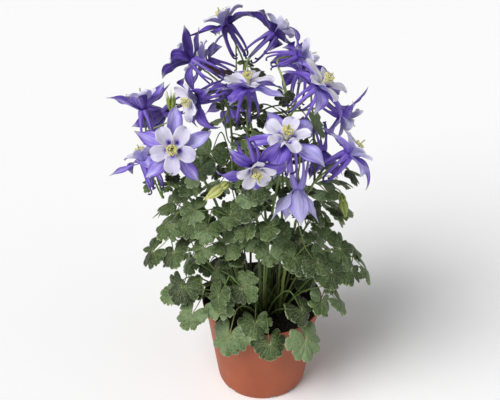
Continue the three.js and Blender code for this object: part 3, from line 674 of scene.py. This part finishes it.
def clear_of_blooms(point):
    """Whether a point is far enough from every bloom and bud for a leaf to grow there."""
    heads = [(bloom.at, bloom.axis, 18) for bloom in BLOOMS]
    heads += [(entry[1], entry[2:4], -14) for entry in BUDS]
    spots = [vec(*at) + direction(*axis) * way for at, axis, length in heads for way in (0, length)]
    return min(math.dist(point, spot) for spot in spots) > LEAF_CLEARANCE


def stem_leaves(blades, stalks, bloom, rng):
    """Leaves at the joints of a bloom's stem."""
    line = stem_line(bloom)
    heading = rng.uniform(0, 360)
    for joint in (1, 2) if branches(bloom) else (2, 2.5, 3, 3.5, 4):
        foot = line[round(joint * STEP_SAMPLES)]
        heading += rng.uniform(110, 170)
        way = direction(90 + rng.uniform(0, 45), heading)
        upper = unit(UP - way * way[2])
        size = rng.uniform(7, 11.5) * (0.75 if branches(bloom) else 1)
        centre = foot + way * size * 1.3
        if clear_of_blooms(centre):
            twig(stalks, foot, foot + way * size * 0.6 + UP * 1.2, centre)
            three_leaflets(blades, centre, way, upper, size, rng.uniform(0.0, 0.5), rng, STEM_LEAF_FINENESS)


# ---------- stems, buds and crowns ----------
def stem(skin, bloom, rng):
    line = stem_line(bloom)
    thick = PEDICEL_RADIUS * 1.3 if branches(bloom) else STEM_RADIUS * rng.uniform(0.8, 1.15)
    radii = np.linspace(thick, PEDICEL_RADIUS * 0.8, len(line))
    radii[-4:] += vec(0.05, 0.2, 0.5, 0.9)
    wobble = rng.normal(size=(len(line), 3)) * 0.16
    wobble[[0, -1]] = 0
    skin.tube(line + wobble, radii, 8, rng.uniform(0, 0.55) + 0.5 * smooth(line[0][0], -12, 14))


def bud(skin, entry, rng):
    """A closed bud with five seams, short hooked spurs at its foot and its sepals' tips just parted."""
    source, at, lean, heading, plump, tone = entry
    tip = vec(*at)
    axis = direction(lean, heading)
    foot = foot_of(source, tip)
    line = spline([foot, tip - axis * BUD_LENGTH * 1.4, tip - axis * BUD_LENGTH * 0.9], 8)
    skin.tube(line, np.full(len(line), PEDICEL_RADIUS * 0.8), 6, 0.8)
    first = unit(np.cross(axis, vec(0.3, 1, 0.2)))
    second = np.cross(axis, first)
    ways = [first * math.cos(turn) + second * math.sin(turn) for turn in np.arange(5) * FIFTH * RAD]
    if entry is SEED_HEAD:
        seed_head(skin, tip, axis, ways, tone, rng)
        return
    rows, corners = 18, 30
    t = np.linspace(0, 1, rows)
    radii = plump * BUD_RADIUS * np.interp(t, (0, 0.1, 0.3, 0.5, 0.75, 0.92, 1), (0.5, 0.78, 1, 0.96, 0.6, 0.26, 0.05))
    seams = np.abs(np.cos(2.5 * (np.arange(corners) * 2 * math.pi / corners)))
    body = tip + np.outer((t - 1) * BUD_LENGTH, axis)
    marks = tube_marks(rows, corners, tone)
    marks[..., 0] = seams
    skin.sleeve(tube_rings(body, radii, corners, 1 - 0.3 * seams**4), marks, part=1)
    base = tip - axis * BUD_LENGTH
    for way in ways:
        bends = [base + way * 1.6 + axis * 1.5, base + way * 2.7 - axis * 2.2]
        hook = spline([*bends, base + way * rng.uniform(0.8, 2) - axis * 5], 4)
        skin.tube(hook, plump * vec(1.5, 1.5, 1.4, 1.3, 1.15, 1.0, 0.9, 0.95, 0.6), 8, tone - 0.12, part=1)
        start = tip - axis * BUD_LENGTH * 0.24 + way * plump * 1.7
        tail = spline([start, tip - axis * 1.5 + way * 0.9, tip + axis * 0.6 + way * rng.uniform(1.2, 2.6)], 3)
        skin.tube(tail, (0.9, 0.85, 0.8, 0.7, 0.5, 0.3, 0.12), 6, tone, part=1)


def seed_head(skin, tip, axis, ways, tone, rng):
    """Five upright pods with long beaks, and the dry threads of the stamens round them."""
    base = tip - axis * BUD_LENGTH
    for way in ways:
        side = way * rng.uniform(2.2, 3.0)
        pod = spline([base + way * 0.8, base + side + axis * 7, base + side * 1.25 + axis * 13], 4)
        skin.tube(pod, (0.9, 1.3, 1.6, 1.8, 1.85, 1.75, 1.4, 0.9, 0.4), 10, tone, part=1)
        beak = spline([pod[-2], base + side * 1.5 + axis * 16, base + side * rng.uniform(1.6, 2.4) + axis * 19], 4)
        skin.tube(beak, np.linspace(0.5, 0.12, len(beak)), 6, 0.7, part=1)
    for _ in range(SEED_THREADS):
        turn = rng.uniform(0, 2 * math.pi)
        out = unit(ways[0] * math.cos(turn) + np.cross(axis, ways[0]) * math.sin(turn))
        end = base + out * 4.6 + axis * rng.uniform(13, 18)
        thread = spline([base + out * 1.5 + axis, base + out * 4 + axis * 9, end], 3)
        skin.tube(thread, np.linspace(0.22, 0.1, len(thread)), 4, 0.8, part=1)


def root_neck(skin, crown, rng):
    """The neck from which the stems and stalks rise, with the sheaths of old stalks round it."""
    centre = crown_centre(crown)
    corners = 21
    line = centre + np.outer(np.linspace(-6, 5, 6), UP)
    ribs = 0.86 + 0.14 * np.abs(np.sin(3.5 * np.arange(corners) * 2 * math.pi / corners))
    rings = tube_rings(line, (5.2, 5.2, 5.0, 4.6, 3.9, 2.6), corners, ribs)
    skin.sleeve(rings, tube_marks(len(line), corners, 0.0))
    for _ in range(OLD_STALKS):
        turn = rng.uniform(0, 2 * math.pi)
        out = vec(math.cos(turn), math.sin(turn), 0)
        foot = centre + out * 3.6
        tall = rng.uniform(8, 58)
        low, high = out * 1.2 + UP * tall * 0.4, out * rng.uniform(0.1, 0.45) * tall + UP * tall
        line = spline([foot, foot + low, foot + high], 4)
        skin.tube(line, np.linspace(rng.uniform(0.9, 1.6), 0.3, len(line)), 6, rng.uniform(0, 0.3))


# ---------- materials ----------
def add_node(tree, kind, inputs, output=0, **settings):
    """A node with its settings and inputs, as the field of its output. Each input is a field or a plain value."""
    node = tree.nodes.new("ShaderNode" + kind)
    for name, value in settings.items():
        setattr(node, name, value)
    for name, value in inputs.items():
        socket = node.inputs[name]
        if isinstance(value, Field):
            tree.links.new(value.socket, socket)
        else:
            socket.default_value = (*value, 1) if socket.type == "RGBA" else value
    return Field(node.outputs[output])


class Field:
    """A number or a colour that differs over a surface, with the nodes that make others from it."""

    def __init__(self, socket):
        self.socket = socket

    def node(self, kind, inputs, output=0, **settings):
        return add_node(self.socket.id_data, kind, inputs, output, **settings)

    def calc(self, operation, other=0.0):
        return self.node("Math", {0: self, 1: other}, operation=operation)

    def __add__(self, other):
        return self.calc("ADD", other)

    def __sub__(self, other):
        return self.calc("SUBTRACT", other)

    def __mul__(self, other):
        return self.calc("MULTIPLY", other)

    def spread(self, low, high, start=0.0, end=1.0):
        """Maps low to high onto start to end with soft ends."""
        inputs = {"Value": self, "From Min": low, "From Max": high, "To Min": start, "To Max": end}
        return self.node("MapRange", inputs, interpolation_type="SMOOTHSTEP")

    def ramp(self, *stops):
        """Colours along this number. stops are places from 0 to 1 with their linear colours."""
        colour = self.node("ValToRGB", {"Fac": self})
        band = colour.socket.node.color_ramp
        while len(band.elements) < len(stops):
            band.elements.new(0.5)
        for element, (place, shade) in zip(band.elements, stops):
            element.position = place
            element.color = (*shade, 1)
        return colour

    def mix(self, first, second, blend="MIX"):
        """Goes from the first colour to the second where this number goes from 0 to 1."""
        return self.node("Mix", {0: self, 6: first, 7: second}, output=2, data_type="RGBA", blend_type=blend)

    def streaks(self, across_scale, along_scale, detail=3.0):
        """Fine veins that run along a blade, as a grey value of the place on it."""
        stretched = self.node("VectorMath", {0: self, 1: (across_scale, along_scale, 40.0)}, operation="MULTIPLY")
        return self.node("TexNoise", {"Vector": stretched, "Scale": 1.0, "Detail": detail})


def new_finish(name, **sockets):
    """A new material with plain values set on its surface shader."""
    material = bpy.data.materials.new(name)
    material.use_nodes = True
    for key, value in sockets.items():
        material.node_tree.nodes["Principled BSDF"].inputs[key.replace("_", " ")].default_value = value
    return material


def finished(material, colour, height, depth):
    """Gives a material its colour, and bump of a depth in metres from a grey value."""
    tree = material.node_tree
    normal = add_node(tree, "Bump", {"Height": height, "Distance": depth, "Strength": 1.0})
    for name, field in (("Base Color", colour), ("Normal", normal)):
        tree.links.new(field.socket, tree.nodes["Principled BSDF"].inputs[name])
    return material


def places(material):
    """The place of a point on its part as one field, and in three: across, along and the part's own shade."""
    place = add_node(material.node_tree, "Attribute", {}, "Vector", attribute_name="place")
    across, along, shade = place.node("SeparateXYZ", {"Vector": place}).socket.node.outputs
    return place, Field(across), Field(along), Field(shade)


def side_of(material):
    """1 on the upper side of a blade and -1 on the lower."""
    return add_node(material.node_tree, "Attribute", {}, "Fac", attribute_name="side")


def texture(material, kind, settings=None, **inputs):
    """A grey texture in the plant's own space, with its scale per metre."""
    where = add_node(material.node_tree, "TexCoord", {}, "Object")
    return where.node("Tex" + kind, {"Vector": where, **inputs}, **(settings or {}))


def sepal_finish(settings):
    """Violet, paler along the middle and deeper at the foot and the edges, with fine veins and a pale green tip."""
    material = new_finish("sepal_violet", Roughness=0.45)
    place, across, along, shade = places(material)
    side = side_of(material)
    veins, wash = place.streaks(6.0, 1.4), place.streaks(1.6, 2.6, 2.0)
    keel = across.calc("ABSOLUTE").spread(0.0, 0.9, 0.34, -0.1) * along
    tone = shade - 0.08 + keel - along.spread(0.25, 0.0, 0.0, 0.3) - side.spread(0.5, -0.5, 0.0, 0.1)
    tone = tone + (veins - 0.5) * 0.9 + (wash - 0.5)
    deep, vivid = (0.0, settings.deep_violet), (0.22, settings.vivid_violet)
    colour = tone.ramp(deep, vivid, (0.48, settings.violet), (1.0, settings.pale_violet))
    colour = along.spread(0.78, 0.98, 0.0, 0.7).mix(colour, settings.sepal_tip)
    return finished(material, colour, veins, 0.0009)


def spur_finish(settings):
    """Deep violet, darkest at the knob."""
    material = new_finish("spur_violet", Roughness=0.42)
    place, _, along, shade = places(material)
    veins = place.streaks(3.0, 3.0)
    tone = shade * 0.45 + along.spread(0.55, 1.0, 0.2, -0.35) + (veins - 0.5) * 0.5
    colour = tone.ramp((0.0, settings.deep_violet), (0.5, settings.violet), (1.0, settings.pale_violet))
    return finished(material, colour, veins, 0.0003)


def petal_finish(settings):
    """White, with a deep violet throat that fades out along the blade, faint veins and a lavender back, and painted
    grey-lilac shade over the middle of the blade and over the greyer petals.
    """
    material = new_finish("petal_white", Roughness=0.55)
    place, across, along, shade = places(material)
    veins = place.streaks(6.0, 1.5)
    past, aside = along - 0.2, across * 0.85
    past = (past * 2.5).calc("MAXIMUM", past * -5.0)
    far = (past * past + aside * aside).calc("SQRT") + (veins - 0.5) * 0.35
    white, pale = settings.white, settings.pale_violet
    blotch = far.ramp((0.12, settings.deep_violet), (0.28, settings.violet), (0.42, pale), (0.62, white))
    # The wash is the faint veins, with painted grey-lilac shade over the middle of the blade, as in a cupped petal;
    # the edges stay white.
    wash = veins.spread(0.45, 0.7, 0.0, 0.45) + across.calc("ABSOLUTE").spread(0.55, 0.95, 0.32, 0.0)
    face = wash.mix(blotch, (white + pale) * 0.5, "MULTIPLY")
    # Painted grey shade over each petal, as much as its mark says.
    face = shade.mix(face, settings.petal_painted_shade, "MULTIPLY")
    back = along.spread(0.0, 0.9, 0.95, 0.3).mix(white, pale)
    colour = side_of(material).spread(0.5, -0.5).mix(face, back)
    return finished(material, colour, veins, 0.0004)


def stamen_finish(name, colour, dim, roughness, scale, depth):
    """A colour that wanders to a dimmer one, with fine relief."""
    material = new_finish(name, Roughness=roughness)
    grain = texture(material, "Noise", Scale=scale, Detail=4.0)
    return finished(material, grain.ramp((0.3, colour), (0.7, colour * dim)), grain, depth)


def leaf_finish(settings):
    """Grey-green above and paler below, with faint light veins fanned from the foot and a yellowish margin."""
    material = new_finish("leaf_green", Roughness=0.52, Specular_IOR_Level=0.35)
    _, across, along, shade = places(material)
    mottle = texture(material, "Noise", Scale=420.0, Detail=5.0)
    patch = texture(material, "Noise", Scale=70.0, Detail=5.0)
    crumple = texture(material, "Noise", Scale=170.0, Detail=2.0)
    net = texture(material, "Voronoi", {"feature": "DISTANCE_TO_EDGE"}, Scale=380.0)
    tone = shade + (mottle - 0.5) * 0.95 + (patch - 0.5) * 1.4
    colour = tone.ramp((0.0, settings.dark_leaf), (0.5, settings.leaf), (1.0, settings.light_leaf))
    off = across.calc("PINGPONG", 0.165) * along
    veins = off.spread(0.022, 0.002) * along.spread(1.0, 0.1, 0.08, 0.42)
    margin = along.spread(0.9, 1.0, 0.0, 0.6) * patch.spread(0.45, 0.7)
    rim = along.spread(0.93, 0.99, 0.0, 0.8) * mottle.spread(0.35, 0.6)
    colour = (veins + net.spread(0.12, 0.0, 0.0, 0.2)).mix(colour, settings.vein)
    colour = margin.mix(colour, settings.leaf_margin)
    colour = rim.mix(colour, settings.leaf_underside)
    colour = along.spread(0.16, 0.05, 0.0, 0.6).mix(colour, settings.vein)
    colour = side_of(material).spread(0.5, -0.5, 0.0, 0.45).mix(colour, settings.leaf_underside)
    return finished(material, colour, crumple * 3.0 + mottle - veins, 0.0007)


def stem_finish(settings):
    """Green, flushed with brown at the foot and towards the bloom, and darker low on most stems, partly brown and
    partly painted shade among the leaves, with fine lengthwise lines.
    """
    material = new_finish("stem_green", Roughness=0.5)
    place, _, along, shade = places(material)
    lines = place.streaks(9.0, 4.0)
    green = [(0.14, settings.stem), (0.75, settings.stem)]
    colour = along.ramp((0.0, settings.stem_foot), *green, (1.0, settings.stem_top))
    # Most stems darken low down by their mark: partly brown, partly painted shade inside the plant.
    colour = (shade + along * 0.7).spread(0.75, 0.1, 0.0, 0.85).mix(colour, settings.stem_foot)
    colour = shade.spread(0.62, 0.95, 0.0, 0.8).mix(colour, settings.stem_light)
    colour = lines.spread(0.35, 0.7, 0.0, 0.3).mix(colour, settings.dark_leaf)
    return finished(material, colour, lines, 0.0003)


def bud_finish(settings):
    """Brown to pale green by the bud's tone, darker in the grooved seams as painted shade, with lengthwise streaks
    and a brown foot.
    """
    material = new_finish("bud_green", Roughness=0.5)
    place, seam, along, shade = places(material)
    lines = place.streaks(5.0, 1.5)
    # The seams are grooves, darkened as painted shade.
    tone = shade + (lines - 0.5) * 0.7 - seam.spread(0.6, 1.0, 0.0, 0.3)
    colour = tone.ramp((0.1, settings.old_bud), (0.55, settings.bud), (1.0, settings.young_bud))
    colour = along.spread(0.22, 0.02, 0.0, 0.35).mix(colour, settings.stem_top)
    return finished(material, colour, lines, 0.0005)


def pot_finish(settings):
    """Moulded plastic the colour of fired clay outside and black inside, faintly mottled and lined."""
    material = new_finish("terracotta_plastic", Roughness=0.56)
    _, inside, _, _ = places(material)
    wide = texture(material, "Noise", Scale=30.0, Detail=3.0)
    grain = texture(material, "Noise", Scale=900.0, Detail=2.0)
    colour = wide.ramp((0.3, settings.clay_shade), (0.7, settings.clay))
    colour = grain.spread(0.55, 0.75, 0.0, 0.18).mix(colour, settings.clay_light)
    return finished(material, inside.mix(colour, settings.inside), grain, 0.00012)


def soil_finish(settings):
    """Dark crumbs with brown fibres."""
    material = new_finish("potting_soil", Roughness=0.95)
    crumbs = texture(material, "Voronoi", Scale=420.0)
    fibres = texture(material, "Noise", Scale=300.0, Detail=6.0)
    return finished(material, fibres.ramp((0.35, settings.dark), (0.75, settings.brown)), crumbs + fibres, 0.002)


# ---------- settings ----------
def colour_setting(name, code, description):
    return bpy.props.FloatVectorProperty(
        name=name, description=description, subtype="COLOR", size=3, min=0, max=1, default=linear(code)
    )


POT_LOW, POT_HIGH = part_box("pot")


class PotSettings(bpy.types.PropertyGroup):
    rim: bpy.props.FloatProperty(
        name="Rim diameter", description="Across the rim, outside", unit="LENGTH", default=POT_HIGH.x - POT_LOW.x
    )
    height: bpy.props.FloatProperty(
        name="Height", description="From the base to the rim", unit="LENGTH", default=POT_HIGH.z
    )
    clay: colour_setting("Clay", "A65129", "The main colour outside")
    clay_shade: colour_setting("Clay shade", "954522", "The darker parts of the mottling")
    clay_light: colour_setting("Clay light", "B5663A", "The light grain of the plastic")
    inside: colour_setting("Inside", "1C1410", "The colour inside")


class SoilSettings(bpy.types.PropertyGroup):
    roughness: bpy.props.FloatProperty(
        name="Crumbs", description="Height of the crumbs", unit="LENGTH", default=0.0022, min=0
    )
    dark: colour_setting("Dark", "0E0B08", "The moist crumbs")
    brown: colour_setting("Brown", "2F241B", "The fibres")


class FoliageSettings(bpy.types.PropertyGroup):
    # The leaves' tone runs from dark leaf to light leaf: partly the leaves' own age, partly painted shade deep in the
    # plant and painted light on the outer, right and low front leaves.
    leaf: colour_setting("Leaf", "3F5528", "The upper side of most leaves")
    dark_leaf: colour_setting("Dark leaf", "18260E", "The upper side of the oldest leaves")
    light_leaf: colour_setting("Light leaf", "6F845B", "The upper side of the youngest leaves")
    vein: colour_setting("Vein", "A6B47C", "The veins and the foot of the leaflets")
    leaf_margin: colour_setting("Leaf margin", "9FAE3E", "The edge of the leaflets")
    leaf_underside: colour_setting("Leaf underside", "A3B18E", "The lower side of the leaves")
    stem: colour_setting("Stem", "6B8740", "The stems and stalks")
    stem_foot: colour_setting("Stem foot", "3A3020", "The stems where they leave the soil")
    stem_top: colour_setting("Stem top", "5F5640", "The stems just under the blooms")
    stem_light: colour_setting("Stem light", "A2B262", "The youngest stems")
    old_bud: colour_setting("Old bud", "4A3338", "The darkest bud")
    bud: colour_setting("Bud", "93A84B", "The closed buds and the pods")
    young_bud: colour_setting("Young bud", "E2E68C", "The palest bud")
    seed: bpy.props.IntProperty(name="Seed", description="Draws the leaves' small differences", default=11)


class BloomSettings(bpy.types.PropertyGroup):
    deep_violet: colour_setting("Deep violet", "382070", "Spurs, and the darkest sepals")
    vivid_violet: colour_setting("Vivid violet", "5C3FB0", "The deeper sepals")
    violet: colour_setting("Violet", "8267CE", "The sepals")
    pale_violet: colour_setting("Pale violet", "C7C2F5", "The palest sepals")
    sepal_tip: colour_setting("Sepal tip", "CBD2CC", "The tips of the sepals")
    white: colour_setting("White", "F4F2F8", "The petals")
    # The colour of the painted grey shade over the white petals, strongest on the greyer ones.
    petal_painted_shade: colour_setting("Petal shade", "D3D0DE", "The wash over the greyer petals")
    anther: colour_setting("Anther", "F0E78E", "The pollen heads of the stamens")
    filament: colour_setting("Filament", "F5F3D2", "The stalks of the stamens")
    style: colour_setting("Style", "9DB04A", "The five styles")
    seed: bpy.props.IntProperty(name="Seed", description="Draws the petals' small differences", default=5)


class StageSettings(bpy.types.PropertyGroup):
    floor: colour_setting("Floor", "FFFFFF", "The floor")
    key_strength: bpy.props.FloatProperty(
        name="Key light", description="Strength of the main light, from the left", default=2.95, min=0
    )
    fill_strength: bpy.props.FloatProperty(
        name="Fill light", description="Strength of the light from the right", default=0.3, min=0
    )
    sky: bpy.props.FloatProperty(name="Sky", description="Strength of the even light", default=0.24, min=0)


# ---------- operators ----------
def pot_outline(radius, height):
    """From the middle of the underside, up the outside, over the rim and down the inside, with its edges eased.
    The number is that of the first point inside."""
    base, shoulder, step, wall, floor = 0.71 * radius, 0.927 * radius, 0.856 * height, 1.4, 4.6
    foot = [(0.2, 0), (base - 0.6, 0), (base, 0.4), (base + 1.6, 4), (base + 2.6, 9)]
    outside = [*foot, (shoulder - 0.05, step - 0.4), (shoulder + 0.1, step)]
    band = [(shoulder + 1.2, step + 0.8), (shoulder + 2, step + 3), (radius - 0.25, height - 1)]
    rim = [(radius - 0.1, height - 0.35), (radius - 0.5, height), (radius - wall + 0.3, height)]
    inside = [(radius - wall - 0.1, height - 0.5), (shoulder + 2 - wall, step + 3.6), (shoulder - wall, step)]
    bottom = [(base - wall + 0.5, floor + 1), (base - wall - 1, floor), (0.2, floor)]
    return [*outside, *band, *rim, *inside, *bottom], len(outside) + len(band) + 2


def drain_cutter():
    """Radial channels across the underside, every other one with a round hole through the floor."""
    skin = Skin()
    half = CHANNEL_WIDTH / 2
    flat = vec(
        CHANNEL_FROM, -half, -1, CHANNEL_FROM, half, -1, CHANNEL_TO, half, -1, CHANNEL_TO, -half, -1
    ).reshape(4, 3)
    for i in range(CHANNELS):
        spin = np.array(Matrix.Rotation((i + 0.5) * 2 * math.pi / CHANNELS, 3, "Z"))
        low = (flat @ spin.T)[::-1]
        skin.sleeve(np.array([low, low + UP * (CHANNEL_DEPTH + 1)]))
        if i % 2 == 0:
            skin.sleeve(lathe_rings([(HOLE_RADIUS, -2), (HOLE_RADIUS, 9)], 20) + spin @ vec(HOLE_AT, 0, 0))
    return linked("drain_cutter", skin.mesh("drain_cutter"))


class COLUMBINE_OT_pot(bpy.types.Operator):
    """Makes the round moulded pot, with drain channels and holes in its base"""

    bl_idname = "columbine.pot"
    bl_label = "Make the pot"

    def execute(self, context):
        settings = context.scene.columbine_pot
        outline, first_inside = pot_outline(settings.rim / 2 / MM, settings.height / MM)
        marks = np.zeros((len(outline), POT_CORNERS, 3))
        marks[first_inside:, :, 0] = 1
        skin = Skin()
        skin.sleeve(lathe_rings(outline, POT_CORNERS), marks)
        pot = skin.piece("nursery_pot", [pot_finish(settings)], "pot", "terracotta")
        cutter = drain_cutter()
        cut = pot.modifiers.new("drain", "BOOLEAN")
        cut.object = cutter
        cut.solver = "EXACT"
        context.view_layer.update()
        mesh = bpy.data.meshes.new_from_object(pot.evaluated_get(context.evaluated_depsgraph_get()))
        pot.modifiers.clear()
        pot.data = mesh
        bpy.data.objects.remove(cutter)
        mesh.set_sharp_from_angle(angle=32 * RAD)
        return {"FINISHED"}


class COLUMBINE_OT_soil(bpy.types.Operator):
    """Makes the soil, with crumbs on top"""

    bl_idname = "columbine.soil"
    bl_label = "Make the soil"

    def execute(self, context):
        settings = context.scene.columbine_soil
        low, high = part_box("soil")
        bottom, rim = low.z / MM + 0.5, high.x / MM
        outline = [(0.2, bottom), (SOIL_FOOT_RADIUS, bottom), (rim - 0.3, SOIL_LEVEL - SOIL_DIP)]
        under = len(outline)
        for t in np.linspace(0.02, 0.995, SOIL_ROWS):
            outline.append((rim * (1 - t), SOIL_LEVEL - SOIL_DIP * (1 - smooth(t, 0, 0.3))))
        rings = lathe_rings(outline, SOIL_CORNERS)
        crumbs = np.random.default_rng(SOIL_SEED).random((SOIL_ROWS, SOIL_CORNERS)) ** 2
        crumbs = (crumbs + np.roll(crumbs, 1, axis=1) + np.roll(crumbs, 1, axis=0)) / 3
        rings[under:, :, 2] += (crumbs - 0.35) * settings.roughness / MM
        skin = Skin()
        skin.sleeve(rings)
        skin.piece("soil_fill", [soil_finish(settings)], "soil", "potting_soil")
        return {"FINISHED"}


class COLUMBINE_OT_crowns(bpy.types.Operator):
    """Makes each crown's stems, stalks, buds and leaves"""

    bl_idname = "columbine.crowns"
    bl_label = "Make the stems and leaves"

    def execute(self, context):
        settings = context.scene.columbine_foliage
        leaf_green = leaf_finish(settings)
        stem_and_bud = [stem_finish(settings), bud_finish(settings)]
        for number, crown in enumerate(CROWNS):
            rng = np.random.default_rng(settings.seed + number)
            stalks, blades = Skin(), Skin()
            root_neck(stalks, crown, rng)
            for bloom in BLOOMS:
                if crown_of(bloom.stem) == crown:
                    stem(stalks, bloom, rng)
                    stem_leaves(blades, stalks, bloom, rng)
            for leaf in LEAVES:
                if crown_of(leaf[0]) == crown:
                    compound_leaf(blades, stalks, leaf, rng)
            for entry in BUDS:
                if crown_of(entry[0]) == crown:
                    bud(stalks, entry, rng)
            stalks.piece("stems_" + crown, stem_and_bud, "crown_" + crown, "leaf_green")
            blades.piece("leaves_" + crown, [leaf_green], "crown_" + crown, "leaf_green")
        return {"FINISHED"}


def dress_blooms(name, materials, part, slot, seed, build):
    """Makes one piece for each bloom, in place of its solid of that part. A bloom that has no tuft of stamens of
    its own has it in its corolla's solid."""
    for number, bloom in enumerate(BLOOMS, 1):
        skin = Skin()
        build(skin, bloom, np.random.default_rng(seed + number))
        own, other = (f"bloom_{number:02}_{solid}" for solid in (part, "corolla"))
        skin.piece(f"{name}_{number:02}", materials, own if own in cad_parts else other, slot)


class COLUMBINE_OT_calyces(bpy.types.Operator):
    """Makes each bloom's sepals and spurs"""

    bl_idname = "columbine.calyces"
    bl_label = "Make the sepals and spurs"

    def execute(self, context):
        settings = context.scene.columbine_blooms
        materials = [sepal_finish(settings), spur_finish(settings)]
        dress_blooms("calyx", materials, "calyx", "sepal_violet", settings.seed * 100, calyx)
        return {"FINISHED"}


class COLUMBINE_OT_corollas(bpy.types.Operator):
    """Makes each bloom's white petals"""

    bl_idname = "columbine.corollas"
    bl_label = "Make the petals"

    def execute(self, context):
        settings = context.scene.columbine_blooms
        dress_blooms("petals", [petal_finish(settings)], "corolla", "petal_white", settings.seed * 200, corolla)
        return {"FINISHED"}


class COLUMBINE_OT_stamens(bpy.types.Operator):
    """Makes each bloom's tuft of stamens"""

    bl_idname = "columbine.stamens"
    bl_label = "Make the stamens"

    def execute(self, context):
        settings = context.scene.columbine_blooms
        materials = [
            stamen_finish("filament", settings.filament, 0.85, 0.5, 300.0, 0.0001),
            stamen_finish("style", settings.style, 0.7, 0.5, 300.0, 0.0001),
            stamen_finish("anther", settings.anther, 0.75, 0.8, 900.0, 0.0003),
        ]
        dress_blooms("stamens", materials, "stamens", "pollen_yellow", settings.seed * 300, stamens)
        return {"FINISHED"}


class COLUMBINE_OT_stage(bpy.types.Operator):
    """Makes the floor, the lights and the camera"""

    bl_idname = "columbine.stage"
    bl_label = "Make the stage"

    def execute(self, context):
        settings = context.scene.columbine_stage
        studio_floor(settings)
        studio_light("key", KEY_FROM, settings.key_strength, KEY_SOFTNESS)
        studio_light("fill", FILL_FROM, settings.fill_strength, FILL_SOFTNESS)
        world = bpy.data.worlds.new("studio")
        world.use_nodes = True
        background = world.node_tree.nodes["Background"].inputs
        background["Color"].default_value = (1, 1, 1, 1)
        background["Strength"].default_value = settings.sky
        context.scene.world = world
        context.scene.view_settings.view_transform = "Standard"
        camera = linked("camera", bpy.data.cameras.new("camera"))
        camera.location = CAMERA_AT
        camera.rotation_euler = ((90 - CAMERA_DOWN) * RAD, 0, 0)
        camera.data.lens = CAMERA_LENS
        camera.data.clip_start = 0.01
        context.scene.camera = camera
        return {"FINISHED"}


def studio_floor(settings):
    mesh = bpy.data.meshes.new("floor")
    half = FLOOR_HALF_WIDTH
    mesh.from_pydata([(-half, -half, 0), (half, -half, 0), (half, half, 0), (-half, half, 0)], [], [(0, 1, 2, 3)])
    mesh.materials.append(new_finish("floor", Roughness=0.8, Base_Color=(*settings.floor, 1)))
    linked("floor", mesh)


def studio_light(name, way, strength, softness):
    """A broad even light that shines from a way, with softer shadows where its angle is wider."""
    light = bpy.data.lights.new(name, "SUN")
    light.energy = strength
    light.angle = softness * RAD
    lamp = linked(name, light)
    lamp.location = way
    lamp.rotation_euler = (-Vector(way)).to_track_quat("-Z", "Y").to_euler()


OPERATORS = (
    COLUMBINE_OT_pot,
    COLUMBINE_OT_soil,
    COLUMBINE_OT_crowns,
    COLUMBINE_OT_calyces,
    COLUMBINE_OT_corollas,
    COLUMBINE_OT_stamens,
    COLUMBINE_OT_stage,
)
SETTINGS = {
    "columbine_pot": PotSettings,
    "columbine_soil": SoilSettings,
    "columbine_foliage": FoliageSettings,
    "columbine_blooms": BloomSettings,
    "columbine_stage": StageSettings,
}


class COLUMBINE_PT_panel(bpy.types.Panel):
    """Lists the settings and the makers of the columbine"""

    bl_label = "Potted columbine"
    bl_idname = "COLUMBINE_PT_panel"
    bl_space_type = "VIEW_3D"
    bl_region_type = "UI"
    bl_category = "Columbine"

    def draw(self, context):
        for operator in OPERATORS:
            self.layout.operator(operator.bl_idname)
        for key, group in SETTINGS.items():
            box = self.layout.box()
            for name in group.__annotations__:
                box.prop(getattr(context.scene, key), name)


def register():
    for key, group in SETTINGS.items():
        bpy.utils.register_class(group)
        setattr(bpy.types.Scene, key, bpy.props.PointerProperty(type=group))
    for operator in (*OPERATORS, COLUMBINE_PT_panel):
        bpy.utils.register_class(operator)


def unregister():
    for operator in reversed((*OPERATORS, COLUMBINE_PT_panel)):
        bpy.utils.unregister_class(operator)
    for key, group in SETTINGS.items():
        delattr(bpy.types.Scene, key)
        bpy.utils.unregister_class(group)


def main():
    register()
    bpy.ops.columbine.pot()
    bpy.ops.columbine.soil()
    bpy.ops.columbine.crowns()
    bpy.ops.columbine.calyces()
    bpy.ops.columbine.corollas()
    bpy.ops.columbine.stamens()
    bpy.ops.columbine.stage()


if __name__ == "__main__":
    main()
